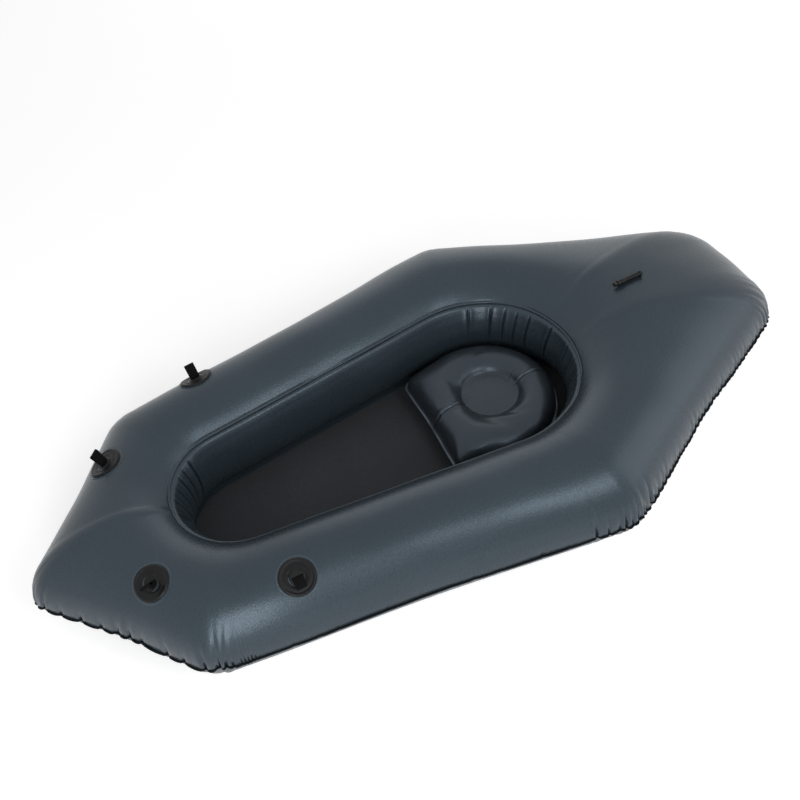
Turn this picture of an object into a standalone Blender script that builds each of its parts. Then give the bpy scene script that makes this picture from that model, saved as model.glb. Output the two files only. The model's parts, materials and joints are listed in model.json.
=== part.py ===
"""One-person inflatable raft, modelled in metres.

+X points to the bow, +Y to port and +Z up. The origin is on the ground, under the middle of
the raft. Heights given "over the seam" are measured from the plane of the outer seam.
"""
import math
from collections import namedtuple

import bmesh
import bpy
from mathutils import Matrix, Vector
from mathutils.bvhtree import BVHTree

# Whole raft, over the binding of the outer seam
LENGTH = 2.000
WIDTH = 1.057

# Sheet and running clearances
SKIN = 0.0008
GAP = 0.0003
CUT_MARGIN = 0.004

# Outer seam: a welded flange with a tape folded over it
SEAM_FLANGE = 0.0100
BINDING_WALL = 0.0008
BINDING_START = 0.0020

# Plan outline over the binding: rounded corners joined by nearly straight edges
BOW_RADIUS = 0.049
BOW_SHOULDER_X = 0.317 * LENGTH
BOW_SHOULDER_Y = 0.279
BOW_SHOULDER_RADIUS = 0.116
STERN_SHOULDER_X = -0.140 * LENGTH
STERN_SHOULDER_RADIUS = 0.110
STERN_CORNER_Y = 0.086
STERN_CORNER_RADIUS = 0.120
SIDE_SAG = 0.010
BOW_SAG = 0.008
QUARTER_SAG = 0.009
STERN_SAG = -0.003

# Cockpit at its narrowest level, the height of the outer seam
COCKPIT_BOW_X = 0.229 * LENGTH
COCKPIT_BOW_RADIUS = 0.140
COCKPIT_STERN_X = -0.096 * LENGTH
COCKPIT_STERN_RADIUS = 0.215

# Section of the air tube
TUBE_HALF_HEIGHT = 0.1435
END_SWELL = 0.280
BILGE_FULLNESS = 1.5
GROUND_SQUASH = 0.0045
RIM_HEIGHT = 0.091
FLOOR_DROP = 0.100
RIM_LAP = 0.015
FLOOR_LAP = 0.015

# Tie-down patches: one pair of places, mirrored to starboard
TIE_DOWN_X = (0.2235 * LENGTH, 0.365 * LENGTH)
TIE_DOWN_Y = (0.31978 * WIDTH, 0.18070 * WIDTH)
LOOP_TURNS = (0.0, 0.0, 0.0, math.radians(41))
LOOP_LEANS = (math.radians(45), 0.0, math.radians(25), 0.0)
BASE_RADIUS = 0.0475
PAD_RADIUS = 0.0425
PAD_WEB = 0.0020
PAD_BEAD = 0.0030
PAD_BEAD_RADIUS = 0.0370
PAD_BEAD_WIDTH = 0.0035
BOSS_RADIUS = 0.0170
BOSS_SLOPE = 0.0030
BOSS_HEIGHT = 0.0055

# Webbing loops
WEBBING = 0.0250
WEBBING_THICKNESS = 0.0015
LOOP_HEIGHT = 0.0380
LOOP_ROOT = 0.0100
LOOP_GAP = 0.0068
SLOT_CLEARANCE = 0.0008

# Oral inflation tube on the stern deck
ORAL_X = -0.3285 * LENGTH
ORAL_Y = 0.007
ORAL_LENGTH = 0.060
ORAL_RADIUS = 0.0065
ORAL_BORE = 0.0043
ORAL_CUFF_RADIUS = 0.0075
ORAL_CUFF_LENGTH = 0.0130
ORAL_BALL_RADIUS = 0.0080
ORAL_LIFT = 0.0090
ORAL_NECK_RADIUS = 0.0045
ORAL_FOOT_RADIUS = 0.0180
ORAL_FOOT_THICKNESS = 0.0012
ORAL_PORT = 0.0020

# Mouthpiece in the end of the oral tube
SPIGOT_LENGTH = 0.0115
SPIGOT_WALL = 0.0007
COLLAR_RADIUS = 0.0078
COLLAR_LENGTH = 0.0065
LIP_RADIUS = 0.0053
LIP_BEAD = 0.0008
LIP_LENGTH = 0.0105
SHELF_THICKNESS = 0.0012
POPPET_STEM_RADIUS = 0.0012
POPPET_TRAVEL = 0.0030
POPPET_DISC = 0.0014
POPPET_HEAD_RADIUS = 0.0027
POPPET_HEAD = 0.0016
POPPET_PROUD = 0.0010

# Main valve on the starboard quarter, low on the deck skin
MAIN_VALVE_X = -0.400 * LENGTH
MAIN_VALVE_ANGLE = math.radians(14)
MAIN_FLANGE_RADIUS = 0.0310
MAIN_FLANGE_THICKNESS = 0.0012
MAIN_COLLAR_RADIUS = 0.0175
MAIN_COLLAR_BORE = 0.0130
MAIN_COLLAR_TOP = 0.0108
MAIN_COLLAR_BOTTOM = -0.0060
MAIN_SEAT_BORE = 0.0100
MAIN_SEAT_THICKNESS = 0.0015
SPIDER_THICKNESS = 0.0015
SPIDER_HOLES = 3
SPIDER_HOLE_RADIUS = 0.0036
SPIDER_HOLE_CIRCLE = 0.0078
STEM_RADIUS = 0.0020
STEM_LIP = 0.0032
BUTTON_RADIUS = 0.0046
BUTTON_HEIGHT = 0.0015
BUTTON_TOP = 0.0083
DIAPHRAGM_RADIUS = 0.0118
DIAPHRAGM_THICKNESS = 0.0015
GASKET_WIRE = 0.0024
CAP_WALL = 0.0028
CAP_CLEARANCE = 0.0005
CAP_SKIRT_GAP = 0.0030
CAP_BAR_WIDTH = 0.0050
CAP_BAR_HEIGHT = 0.0050

# Springs of both valves
SPRING_WIRE = 0.0003
SPRING_TURNS = 4
SPRING_SIDE_GAP = 0.0005

# Seat: rear circle and two front corners in plan, at the height of its own seam. It lies a
# little to starboard and slightly turned, as the photo shows it.
SEAT_Y = -0.010
SEAT_TURN = math.radians(-2.5)
SEAT_REAR_RADIUS = 0.197
SEAT_FRONT_X = COCKPIT_STERN_X + 0.152
SEAT_FRONT_HALF_WIDTH = 0.174
SEAT_CORNER_RADIUS = 0.032
SEAT_FRONT_SAG = 0.004
SEAT_SEAM_DROP = 0.050
SEAT_CROWN = 0.005
SEAT_FULLNESS = 2.6
SEAT_FLANGE = 0.0050
RECESS_X = COCKPIT_STERN_X - 0.027
RECESS_RADIUS = 0.075
RECESS_DROP = 0.020
CREST_SHARE = 0.42
CREASE_DEPTH = 0.0030
SEAT_FOOT_SHARE = 0.55
BAFFLE_INSET = 0.0020

# Seat valve on the port side of the seat
SEAT_VALVE_X = COCKPIT_STERN_X + 0.072
SEAT_VALVE_DROP = 0.030
SEAT_VALVE_FLANGE = 0.0140
SEAT_VALVE_RADIUS = 0.0065
SEAT_VALVE_BORE = 0.0036
SEAT_VALVE_HEIGHT = 0.0070
PLUG_RADIUS = 0.0075
PLUG_HEAD = 0.0025
PLUG_STEM_RADIUS = 0.0032
PLUG_STEM = 0.0050

# Fineness
DISC_SIDES = 24
TUBE_SIDES = 20
SMALL_SIDES = 16
DECK_STEPS = 7
WALL_STEPS = 4
BELLY_STEPS = 4

# Heights that many pieces share
SEAM_HEIGHT = TUBE_HALF_HEIGHT - GROUND_SQUASH
FLOOR_TOP = SEAM_HEIGHT - FLOOR_DROP
BINDING_REACH = SEAM_FLANGE + GAP + BINDING_WALL

X_AXIS = Vector((1, 0, 0))
Y_AXIS = Vector((0, 1, 0))
Z_AXIS = Vector((0, 0, 1))

Round = namedtuple("Round", "x y radius steps sag run")
Station = namedtuple("Station", "outer outward inner across width rise")


def new_collection(name):
    collection = bpy.data.collections.new(name)
    bpy.context.scene.collection.children.link(collection)
    return collection


def new_material(name, colour, roughness, metallic=0.0):
    material = bpy.data.materials.new(name)
    material.use_nodes = True
    shader = material.node_tree.nodes["Principled BSDF"]
    shader.inputs["Base Color"].default_value = (*colour, 1)
    shader.inputs["Roughness"].default_value = roughness
    shader.inputs["Metallic"].default_value = metallic
    return material


def add_object(name, data, collection, matrix=Matrix.Identity(4)):
    thing = bpy.data.objects.new(name, data)
    collection.objects.link(thing)
    thing.matrix_world = matrix
    return thing


def finish(thing, material, smooth_angle=math.radians(32)):
    """Give a piece its material and shade its rounded faces smooth."""
    thing.data.materials.clear()
    thing.data.materials.append(material)
    if thing.type == "MESH":
        thing.data.shade_smooth()
        thing.data.set_sharp_from_angle(angle=smooth_angle)
    bpy.context.view_layer.update()
    return thing


def outward(mesh):
    """Turn a closed mesh's faces outwards."""
    shape = bmesh.new()
    shape.from_mesh(mesh)
    bmesh.ops.recalc_face_normals(shape, faces=shape.faces)
    shape.to_mesh(mesh)
    shape.free()


def as_mesh(thing, collection, matrix):
    """Replace a curve object by its mesh, with the caps welded on."""
    name = thing.name
    depsgraph = bpy.context.evaluated_depsgraph_get()
    mesh = bpy.data.meshes.new_from_object(thing.evaluated_get(depsgraph))
    bpy.data.objects.remove(thing)
    shape = bmesh.new()
    shape.from_mesh(mesh)
    bmesh.ops.remove_doubles(shape, verts=shape.verts, dist=0.00001)
    bmesh.ops.recalc_face_normals(shape, faces=shape.faces)
    shape.to_mesh(mesh)
    shape.free()
    return add_object(name, mesh, collection, matrix)


def flat_plate(name, outlines, thickness, matrix, collection):
    """A plate from flat outlines, the first outside and the others its holes."""
    curve = bpy.data.curves.new(name, "CURVE")
    curve.dimensions = "2D"
    curve.fill_mode = "BOTH"
    curve.extrude = thickness / 2
    for outline in outlines:
        spline = curve.splines.new("POLY")
        spline.points.add(len(outline) - 1)
        for point, (x, y) in zip(spline.points, outline):
            point.co = (x, y, 0, 1)
        spline.use_cyclic_u = True
    thing = add_object(name, curve, collection)
    bpy.context.view_layer.update()
    return as_mesh(thing, collection, matrix)


def circle(radius, sides, centre=(0, 0)):
    turns = [math.tau * k / sides for k in range(sides)]
    return [(centre[0] + radius * math.cos(a), centre[1] + radius * math.sin(a)) for a in turns]


def turned(name, profile, matrix, collection, sides=SMALL_SIDES):
    """A turned solid. The profile runs down its outer side, as (radius, height) pairs."""
    points = [(radius, 0, height) for radius, height in profile]
    edges = [(k, k + 1) for k in range(len(points) - 1)]
    if profile[0][0] > 0:
        edges.append((len(points) - 1, 0))
    mesh = bpy.data.meshes.new(name)
    mesh.from_pydata(points, edges, [])
    thing = add_object(name, mesh, collection, matrix)
    screw = thing.modifiers.new("Turn", "SCREW")
    screw.steps = sides
    screw.render_steps = sides
    screw.use_merge_vertices = True
    screw.merge_threshold = 0.00001
    bpy.context.view_layer.update()
    return thing


def applied(thing, collection):
    """Replace an object by its evaluated mesh, so that it can be joined or cut."""
    return as_mesh(thing, collection, thing.matrix_world.copy())


def boolean(thing, other, operation):
    modifier = thing.modifiers.new(operation.title(), "BOOLEAN")
    modifier.operation = operation
    modifier.solver = "EXACT"
    modifier.object = other


def joined(thing, other, collection):
    """Weld another piece of the same moulding on, and keep one solid."""
    boolean(thing, other, "UNION")
    bpy.context.view_layer.update()
    solid = applied(thing, collection)
    bpy.data.objects.remove(other)
    return solid


def hide_cutter(cutter):
    cutter.hide_render = True
    cutter.display_type = "WIRE"


def cut_hole(thing, name, radius, depth, matrix, cutters):
    """Cut a round hole along the local Z of a place."""
    profile = [(0, depth / 2), (radius, depth / 2), (radius, -depth / 2), (0, -depth / 2)]
    cutter = turned(name, profile, matrix, cutters, DISC_SIDES)
    hide_cutter(cutter)
    boolean(thing, cutter, "DIFFERENCE")


def helix(name, radius, low, high, matrix, collection):
    """A coil spring between two heights."""
    per_turn = 8
    count = SPRING_TURNS * per_turn + 1
    bottom = low + SPRING_WIRE
    top = high - SPRING_WIRE
    curve = bpy.data.curves.new(name, "CURVE")
    curve.dimensions = "3D"
    curve.bevel_depth = SPRING_WIRE
    curve.bevel_resolution = 1
    curve.use_fill_caps = True
    spline = curve.splines.new("POLY")
    spline.points.add(count - 1)
    for k, point in enumerate(spline.points):
        turn = math.tau * k / per_turn
        height = bottom + (top - bottom) * k / (count - 1)
        point.co = (radius * math.cos(turn), radius * math.sin(turn), height, 1)
    thing = add_object(name, curve, collection)
    bpy.context.view_layer.update()
    return as_mesh(thing, collection, matrix)


def belt_normals(rounds):
    """For each pair of neighbouring circles, the outward normal of the line that touches both."""
    normals = []
    for k, here in enumerate(rounds):
        there = rounds[(k + 1) % len(rounds)]
        along = Vector((there.x - here.x, there.y - here.y))
        share = (here.radius - there.radius) / along.length
        along.normalize()
        right = Vector((along.y, -along.x))
        normals.append(along * share + right * math.sqrt(1 - share * share))
    return normals


def belt(rounds, inset=0.0):
    """Points and outward normals of a belt round circles, anticlockwise, with sagging runs."""
    normals = belt_normals(rounds)
    path = []
    for k, here in enumerate(rounds):
        radius = here.radius - inset
        centre = Vector((here.x, here.y))
        start = math.atan2(normals[k - 1].y, normals[k - 1].x)
        turn = (math.atan2(normals[k].y, normals[k].x) - start) % math.tau
        for step in range(here.steps):
            angle = start + turn * step / here.steps
            normal = Vector((math.cos(angle), math.sin(angle)))
            path.append((centre + normal * radius, normal))
        there = rounds[(k + 1) % len(rounds)]
        first = centre + normals[k] * radius
        last = Vector((there.x, there.y)) + normals[k] * (there.radius - inset)
        for step in range(here.run):
            share = step / here.run
            sag = here.sag * math.sin(math.pi * share) ** 2
            path.append((first.lerp(last, share) - normals[k] * sag, normals[k]))
    return path


def nearest_on_cockpit(point):
    """The point of the cockpit's narrowest outline that is nearest to a point of the seam."""
    bow = Vector((COCKPIT_BOW_X, 0))
    stern = Vector((COCKPIT_STERN_X, 0))
    along = COCKPIT_BOW_X - COCKPIT_STERN_X
    lean = (COCKPIT_STERN_RADIUS - COCKPIT_BOW_RADIUS) / along
    side = 1 if point.y >= 0 else -1
    normal = Vector((lean, side * math.sqrt(1 - lean * lean)))
    first = stern + normal * COCKPIT_STERN_RADIUS
    last = bow + normal * COCKPIT_BOW_RADIUS
    run = last - first
    share = (point - first).dot(run) / run.length_squared
    if share < 0:
        return stern + (point - stern).normalized() * COCKPIT_STERN_RADIUS
    if share > 1:
        return bow + (point - bow).normalized() * COCKPIT_BOW_RADIUS
    return first + run * share


def hull_rounds():
    """The corner circles of the plan outline, anticlockwise from the bow."""
    bow = Round(LENGTH / 2 - BOW_RADIUS, 0, BOW_RADIUS, 4, BOW_SAG, 4)
    bow_port = Round(BOW_SHOULDER_X, BOW_SHOULDER_Y, BOW_SHOULDER_RADIUS, 3, SIDE_SAG, 6)
    shoulder_y = WIDTH / 2 - STERN_SHOULDER_RADIUS
    stern_port = Round(STERN_SHOULDER_X, shoulder_y, STERN_SHOULDER_RADIUS, 3, QUARTER_SAG, 5)
    corner_x = STERN_CORNER_RADIUS - STERN_SAG - LENGTH / 2
    corner_port = Round(corner_x, STERN_CORNER_Y, STERN_CORNER_RADIUS, 5, STERN_SAG, 2)
    corner = Round(corner_x, -STERN_CORNER_Y, STERN_CORNER_RADIUS, 5, QUARTER_SAG, 5)
    stern = Round(STERN_SHOULDER_X, -shoulder_y, STERN_SHOULDER_RADIUS, 3, SIDE_SAG, 6)
    bow_starboard = Round(BOW_SHOULDER_X, -BOW_SHOULDER_Y, BOW_SHOULDER_RADIUS, 3, BOW_SAG, 4)
    return [bow, bow_port, stern_port, corner_port, corner, stern, bow_starboard]


def hull_stations():
    """Sections of the air tube, each from the outer seam to the cockpit."""
    stations = []
    for outer, normal in belt(hull_rounds(), BINDING_REACH):
        inner = nearest_on_cockpit(outer)
        across = outer - inner
        width = across.length
        extra = min(max(width / 2 - TUBE_HALF_HEIGHT, 0), TUBE_HALF_HEIGHT)
        rise = TUBE_HALF_HEIGHT + END_SWELL * extra
        stations.append(Station(outer, normal, inner, across.normalized(), width, rise))
    return stations


def tube_point(station, angle, inset=0.0):
    """A point of the tube's skin: 0 at the outer seam, pi/2 on top, pi at the cockpit."""
    half_in = (station.width / 2 + TUBE_HALF_HEIGHT) / 2
    half_out = station.width - half_in
    reach = half_out if math.cos(angle) > 0 else half_in
    rise = station.rise if math.sin(angle) > 0 else TUBE_HALF_HEIGHT
    bilge = math.cos(angle) > 0 and math.sin(angle) < 0
    power = 2 / BILGE_FULLNESS if bilge else 1.0
    side = math.copysign(abs(math.cos(angle)) ** power, math.cos(angle))
    drop = math.copysign(abs(math.sin(angle)) ** power, math.sin(angle))
    flat = station.inner + station.across * (half_in + (reach - inset) * side)
    height = SEAM_HEIGHT + (rise - inset) * drop
    return Vector((flat.x, flat.y, max(height, 0.0)))


def seam_point(station, reach, height):
    flat = station.outer + station.outward * reach
    return Vector((flat.x, flat.y, SEAM_HEIGHT + height))


def skin_mesh(name, rows, centre=None):
    """An open skin through rows of points, with an optional middle point that closes it."""
    count = len(rows[0])
    points = [point for row in rows for point in row]
    faces = []
    for row in range(len(rows) - 1):
        for k in range(count):
            after = (k + 1) % count
            low = row * count
            faces.append((low + k, low + after, low + count + after))
            faces.append((low + k, low + count + after, low + count + k))
    if centre is not None:
        last = len(points) - count
        points.append(centre)
        for k in range(count):
            faces.append((last + k, last + (k + 1) % count, len(points) - 1))
    mesh = bpy.data.meshes.new(name)
    mesh.from_pydata(points, [], faces)
    return mesh


def add_skin(name, mesh, material, collection, thickness=SKIN):
    """A welded sheet: its drawn face is outside, and the thickness goes inwards."""
    thing = add_object(name, mesh, collection)
    finish(thing, material)
    solid = thing.modifiers.new("Sheet", "SOLIDIFY")
    solid.thickness = thickness
    solid.offset = -1
    solid.use_even_offset = True
    bpy.context.view_layer.update()
    return thing


def rim_angle(station, above=0.0):
    """Angle of the rim seam on a section, or of a line at an arc length above it."""
    return math.pi - math.asin(RIM_HEIGHT / station.rise) - above / station.rise


def floor_angle(drop):
    """Angle on a section at which the tube meets a level below the seam."""
    return math.pi + math.asin(drop / TUBE_HALF_HEIGHT)


def add_deck(stations, material, collection):
    lift = GAP / 2 + SKIN
    rows = [[seam_point(s, SEAM_FLANGE, lift) for s in stations],
            [seam_point(s, 0, lift) for s in stations]]
    for step in range(1, DECK_STEPS + 1):
        share = step / DECK_STEPS
        rows.append([tube_point(s, rim_angle(s, RIM_LAP) * share) for s in stations])
    rows.append([tube_point(s, rim_angle(s)) for s in stations])
    return add_skin("deck_panel", skin_mesh("deck_panel", rows), material, collection)


def add_wall(stations, material, collection):
    inset = SKIN + GAP
    level = FLOOR_TOP + GAP + SKIN
    foot = floor_angle(SEAM_HEIGHT - level)
    rows = [[tube_point(s, rim_angle(s, RIM_LAP), inset) for s in stations]]
    for step in range(WALL_STEPS):
        share = step / WALL_STEPS
        angles = [rim_angle(s) + (foot - rim_angle(s)) * share for s in stations]
        rows.append([tube_point(s, angle, inset) for s, angle in zip(stations, angles)])
    crease = []
    lap = []
    for station in stations:
        point = tube_point(station, foot, inset)
        point.z = level
        crease.append(point)
        lap.append(point - station.across.to_3d() * FLOOR_LAP)
    rows += [crease, lap]
    mesh = skin_mesh("cockpit_wall_panel", rows)
    return add_skin("cockpit_wall_panel", mesh, material, collection)


def add_bottom(stations, material, collection):
    lift = GAP / 2 + SKIN
    level = FLOOR_TOP - 2 * SKIN - GAP
    foot = floor_angle(SEAM_HEIGHT - level)
    ground = floor_angle(SEAM_HEIGHT)
    bilge = math.asin((SEAM_HEIGHT / TUBE_HALF_HEIGHT) ** (BILGE_FULLNESS / 2))
    crease = []
    lap = []
    for station in stations:
        point = tube_point(station, foot)
        point.z = level
        crease.append(point)
        lap.append(point - station.across.to_3d() * FLOOR_LAP)
    rows = [lap, crease]
    rows.append([tube_point(s, (foot + ground) / 2) for s in stations])
    for step in range(BELLY_STEPS):
        share = step / BELLY_STEPS
        angle = math.tau - bilge * (1 - share)
        if step == 0:
            rows.append([tube_point(s, ground) for s in stations])
        rows.append([tube_point(s, angle) for s in stations])
    rows.append([seam_point(s, 0, -lift) for s in stations])
    rows.append([seam_point(s, SEAM_FLANGE, -lift) for s in stations])
    return add_skin("bottom_panel", skin_mesh("bottom_panel", rows), material, collection)


def add_floor(stations, material, collection):
    outline = []
    for station in stations:
        point = tube_point(station, floor_angle(FLOOR_DROP))
        outline.append((point.x, point.y))
    place = Matrix.Translation((0, 0, FLOOR_TOP - SKIN / 2))
    thing = flat_plate("floor_sheet", [outline], SKIN, place, collection)
    return finish(thing, material)


def add_binding(stations, material, collection):
    """The tape folded over the flanges of the deck and the bottom."""
    inside = GAP / 2 + SKIN + GAP
    outside = inside + BINDING_WALL
    fold = SEAM_FLANGE + GAP
    section = [(BINDING_START, inside), (fold, inside), (fold, -inside), (BINDING_START, -inside),
               (BINDING_START, -outside), (BINDING_REACH, -outside), (BINDING_REACH, outside),
               (BINDING_START, outside)]
    rows = [[seam_point(s, reach, height) for s in stations] for reach, height in section]
    mesh = skin_mesh("outer_seam_binding", rows + rows[:1])
    shape = bmesh.new()
    shape.from_mesh(mesh)
    bmesh.ops.remove_doubles(shape, verts=shape.verts, dist=0.00001)
    shape.to_mesh(mesh)
    shape.free()
    outward(mesh)
    return finish(add_object("outer_seam_binding", mesh, collection), material)


def surface_of(thing):
    return BVHTree.FromObject(thing, bpy.context.evaluated_depsgraph_get())


def place_on(tree, start, direction, along, spread):
    """Axes of a fitting on a skin: Z out of it, X along a given way."""
    direction = direction.normalized()
    side = direction.cross(along).normalized()
    other = direction.cross(side).normalized()
    corners = [start + side * a + other * b for a, b in
               ((spread, spread), (-spread, spread), (-spread, -spread), (spread, -spread))]
    hits = [tree.ray_cast(corner, direction)[0] for corner in corners]
    normal = (hits[2] - hits[0]).cross(hits[3] - hits[1]).normalized()
    if normal.dot(direction) > 0:
        normal.negate()
    centre = tree.ray_cast(start, direction)[0]
    x = (along - normal * along.dot(normal)).normalized()
    y = normal.cross(x)
    matrix = Matrix((x, y, normal)).transposed().to_4x4()
    matrix.translation = centre
    return matrix


def fitted_piece(name, skin, heights, profile, place, collection, cutters):
    """A layer that follows a skin between two heights over it, kept inside a turned shape."""
    low, high = heights
    thing = add_object(name, skin.data.copy(), collection)
    sheet = thing.modifiers.new("Sheet", "SOLIDIFY")
    sheet.thickness = high - low
    sheet.offset = (high + low) / (high - low)
    sheet.use_even_offset = True
    cutter = turned(name + "_outline", profile, place, cutters, DISC_SIDES)
    hide_cutter(cutter)
    boolean(thing, cutter, "INTERSECT")
    bpy.context.view_layer.update()
    return applied(thing, collection)


def fitted_disc(name, skin, heights, radii, place, collection, cutters):
    """A round sheet, or a ring of one, that follows a skin between two heights over it."""
    inner, outer = radii
    reach = outer / 2
    profile = [(inner, reach), (outer, reach), (outer, -reach), (inner, -reach)]
    return fitted_piece(name, skin, heights, profile, place, collection, cutters)


def loop_outline(inner):
    """Half-thickness of the loop up its height, as an outline or as the hole inside it."""
    wall = WEBBING_THICKNESS
    low = LOOP_ROOT + wall if inner else LOOP_ROOT
    belly = LOOP_GAP / 2 if inner else LOOP_GAP / 2 + wall
    neck = 0.0 if inner else wall
    crown = LOOP_HEIGHT - LOOP_GAP / 2 - wall
    steps = 4
    side = []
    for k in range(steps + 1):
        share = k / steps
        swell = math.sin(share * math.pi / 2) ** 1.3
        side.append((neck + (belly - neck) * swell, low + (crown - low) * share))
    if inner:
        side[0] = (0.0, low)
    for k in range(1, steps):
        angle = math.pi / 2 * k / steps
        side.append((belly * math.cos(angle), crown + belly * math.sin(angle)))
    top = [(0.0, crown + belly)]
    mirror = [(-y, z) for y, z in reversed(side) if y > 0]
    if inner:
        return side + top + mirror
    foot = []
    for k in range(steps + 1):
        angle = math.pi + math.pi * k / steps
        foot.append((wall * math.cos(angle), wall * math.sin(angle)))
    return side + top + mirror + foot


def add_tie_down(number, tree, deck, materials, collection, cutters):
    """A base patch, a moulded pad with a slot, and the webbing loop that swings in it."""
    pair = (number - 1) // 2
    side = 1 if number % 2 else -1
    above = Vector((TIE_DOWN_X[pair], side * TIE_DOWN_Y[pair], 1.0))
    turn = LOOP_TURNS[number - 1]
    across = Vector((math.cos(turn), math.sin(turn), 0))
    place = place_on(tree, above, -Z_AXIS, across, BOSS_RADIUS)
    patch_top = GAP + SKIN
    base = fitted_disc(f"tie_down_base_{number}", deck, (GAP, patch_top), (0, BASE_RADIUS),
                       place, collection, cutters)
    finish(base, materials["hull"])
    under = patch_top + GAP
    web = under + PAD_WEB
    boss = under + BOSS_HEIGHT
    pad = fitted_disc(f"tie_down_pad_{number}", deck, (under, web), (0, PAD_RADIUS),
                      place, collection, cutters)
    middle = under + PAD_WEB / 3
    bead = fitted_disc(f"tie_down_bead_{number}", deck, (middle, under + PAD_BEAD),
                       (PAD_BEAD_RADIUS, PAD_BEAD_RADIUS + PAD_BEAD_WIDTH), place, collection,
                       cutters)
    pad = joined(pad, bead, collection)
    foot = BOSS_RADIUS + BOSS_SLOPE
    profile = [(0, boss), (BOSS_RADIUS, boss), (foot, middle), (foot, -BOSS_HEIGHT),
               (0, -BOSS_HEIGHT)]
    hub = fitted_piece(f"tie_down_boss_{number}", deck, (middle, 2 * boss), profile, place,
                       collection, cutters)
    pad = joined(pad, hub, collection)
    axis = place @ Matrix.Translation((0, 0, boss))
    slot = axis @ Matrix.Rotation(math.pi / 2, 4, "Y")
    groove = WEBBING_THICKNESS + SLOT_CLEARANCE
    length = WEBBING / 2 + SLOT_CLEARANCE
    cutter = turned(f"tie_down_slot_{number}", [(0, length), (groove, length), (groove, -length),
                                                (0, -length)], slot, cutters)
    hide_cutter(cutter)
    boolean(pad, cutter, "DIFFERENCE")
    finish(pad, materials["rubber"])
    lean = axis @ Matrix.Rotation(-LOOP_LEANS[number - 1], 4, "X")
    stand = lean @ Matrix(((0, 0, 1, 0), (1, 0, 0, 0), (0, 1, 0, 0), (0, 0, 0, 1)))
    outlines = [loop_outline(False), loop_outline(True)]
    loop = flat_plate(f"tie_down_loop_{number}", outlines, WEBBING, stand, collection)
    finish(loop, materials["webbing"])


def arc(radius, centre, first, last, steps):
    """Profile points on an arc, by angles from the axis of turning."""
    angles = [first + (last - first) * k / steps for k in range(steps + 1)]
    return [(radius * math.sin(a), centre + radius * math.cos(a)) for a in angles]


def add_oral_tube(tree, materials, collection, cutters, deck):
    """The tube that is blown into: a foot under the deck, a lifting tube and its mouthpiece."""
    rubber = materials["rubber"]
    above = Vector((ORAL_X, ORAL_Y, 1.0))
    place = place_on(tree, above, -Z_AXIS, X_AXIS, ORAL_NECK_RADIUS)
    foot_top = -SKIN - GAP
    foot_low = foot_top - ORAL_FOOT_THICKNESS
    foot = fitted_disc("oral_flange", deck, (foot_low, foot_top), (ORAL_PORT, ORAL_FOOT_RADIUS),
                       place, collection, cutters)
    cup = ORAL_BALL_RADIUS + GAP
    inner = math.asin(ORAL_PORT / cup)
    outer = math.asin(ORAL_NECK_RADIUS / cup)
    profile = arc(cup, ORAL_LIFT, math.pi - inner, math.pi - outer, 2)
    profile += [(ORAL_NECK_RADIUS, foot_low), (ORAL_PORT, foot_low)]
    neck = turned("oral_neck", profile, place, collection, TUBE_SIDES)
    finish(joined(foot, neck, collection), rubber)
    hole = ORAL_NECK_RADIUS + GAP
    cut_hole(deck, "oral_hole", hole, 2 * CUT_MARGIN, place, cutters)

    pivot = place @ Vector((0, 0, ORAL_LIFT))
    lying = Matrix(((0, 0, 1, 0), (0, 1, 0, 0), (-1, 0, 0, 0), (0, 0, 0, 1)))
    tube_place = Matrix.Translation(pivot) @ lying
    flare = ORAL_BALL_RADIUS * 1.5
    start = math.asin(ORAL_RADIUS / ORAL_BALL_RADIUS)
    cuff = ORAL_LENGTH - ORAL_CUFF_LENGTH
    profile = [(0, 0), (ORAL_BORE, 0), (ORAL_BORE, ORAL_LENGTH),
               (ORAL_CUFF_RADIUS, ORAL_LENGTH), (ORAL_CUFF_RADIUS, cuff),
               (ORAL_RADIUS, cuff - ORAL_CUFF_RADIUS + ORAL_RADIUS), (ORAL_RADIUS, flare)]
    ball = arc(ORAL_BALL_RADIUS, 0, start, math.pi, 6)
    ball[-1] = (0, ball[-1][1])
    tube = turned("oral_tube", profile + ball, tube_place, collection, TUBE_SIDES)
    port = Matrix.Translation(pivot - Z_AXIS * ORAL_BALL_RADIUS / 2)
    cut_hole(tube, "oral_port", ORAL_PORT, ORAL_BALL_RADIUS + CUT_MARGIN, port, cutters)
    finish(tube, rubber)
    add_mouthpiece(tube_place @ Matrix.Translation((0, 0, ORAL_LENGTH)), materials, collection)


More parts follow.
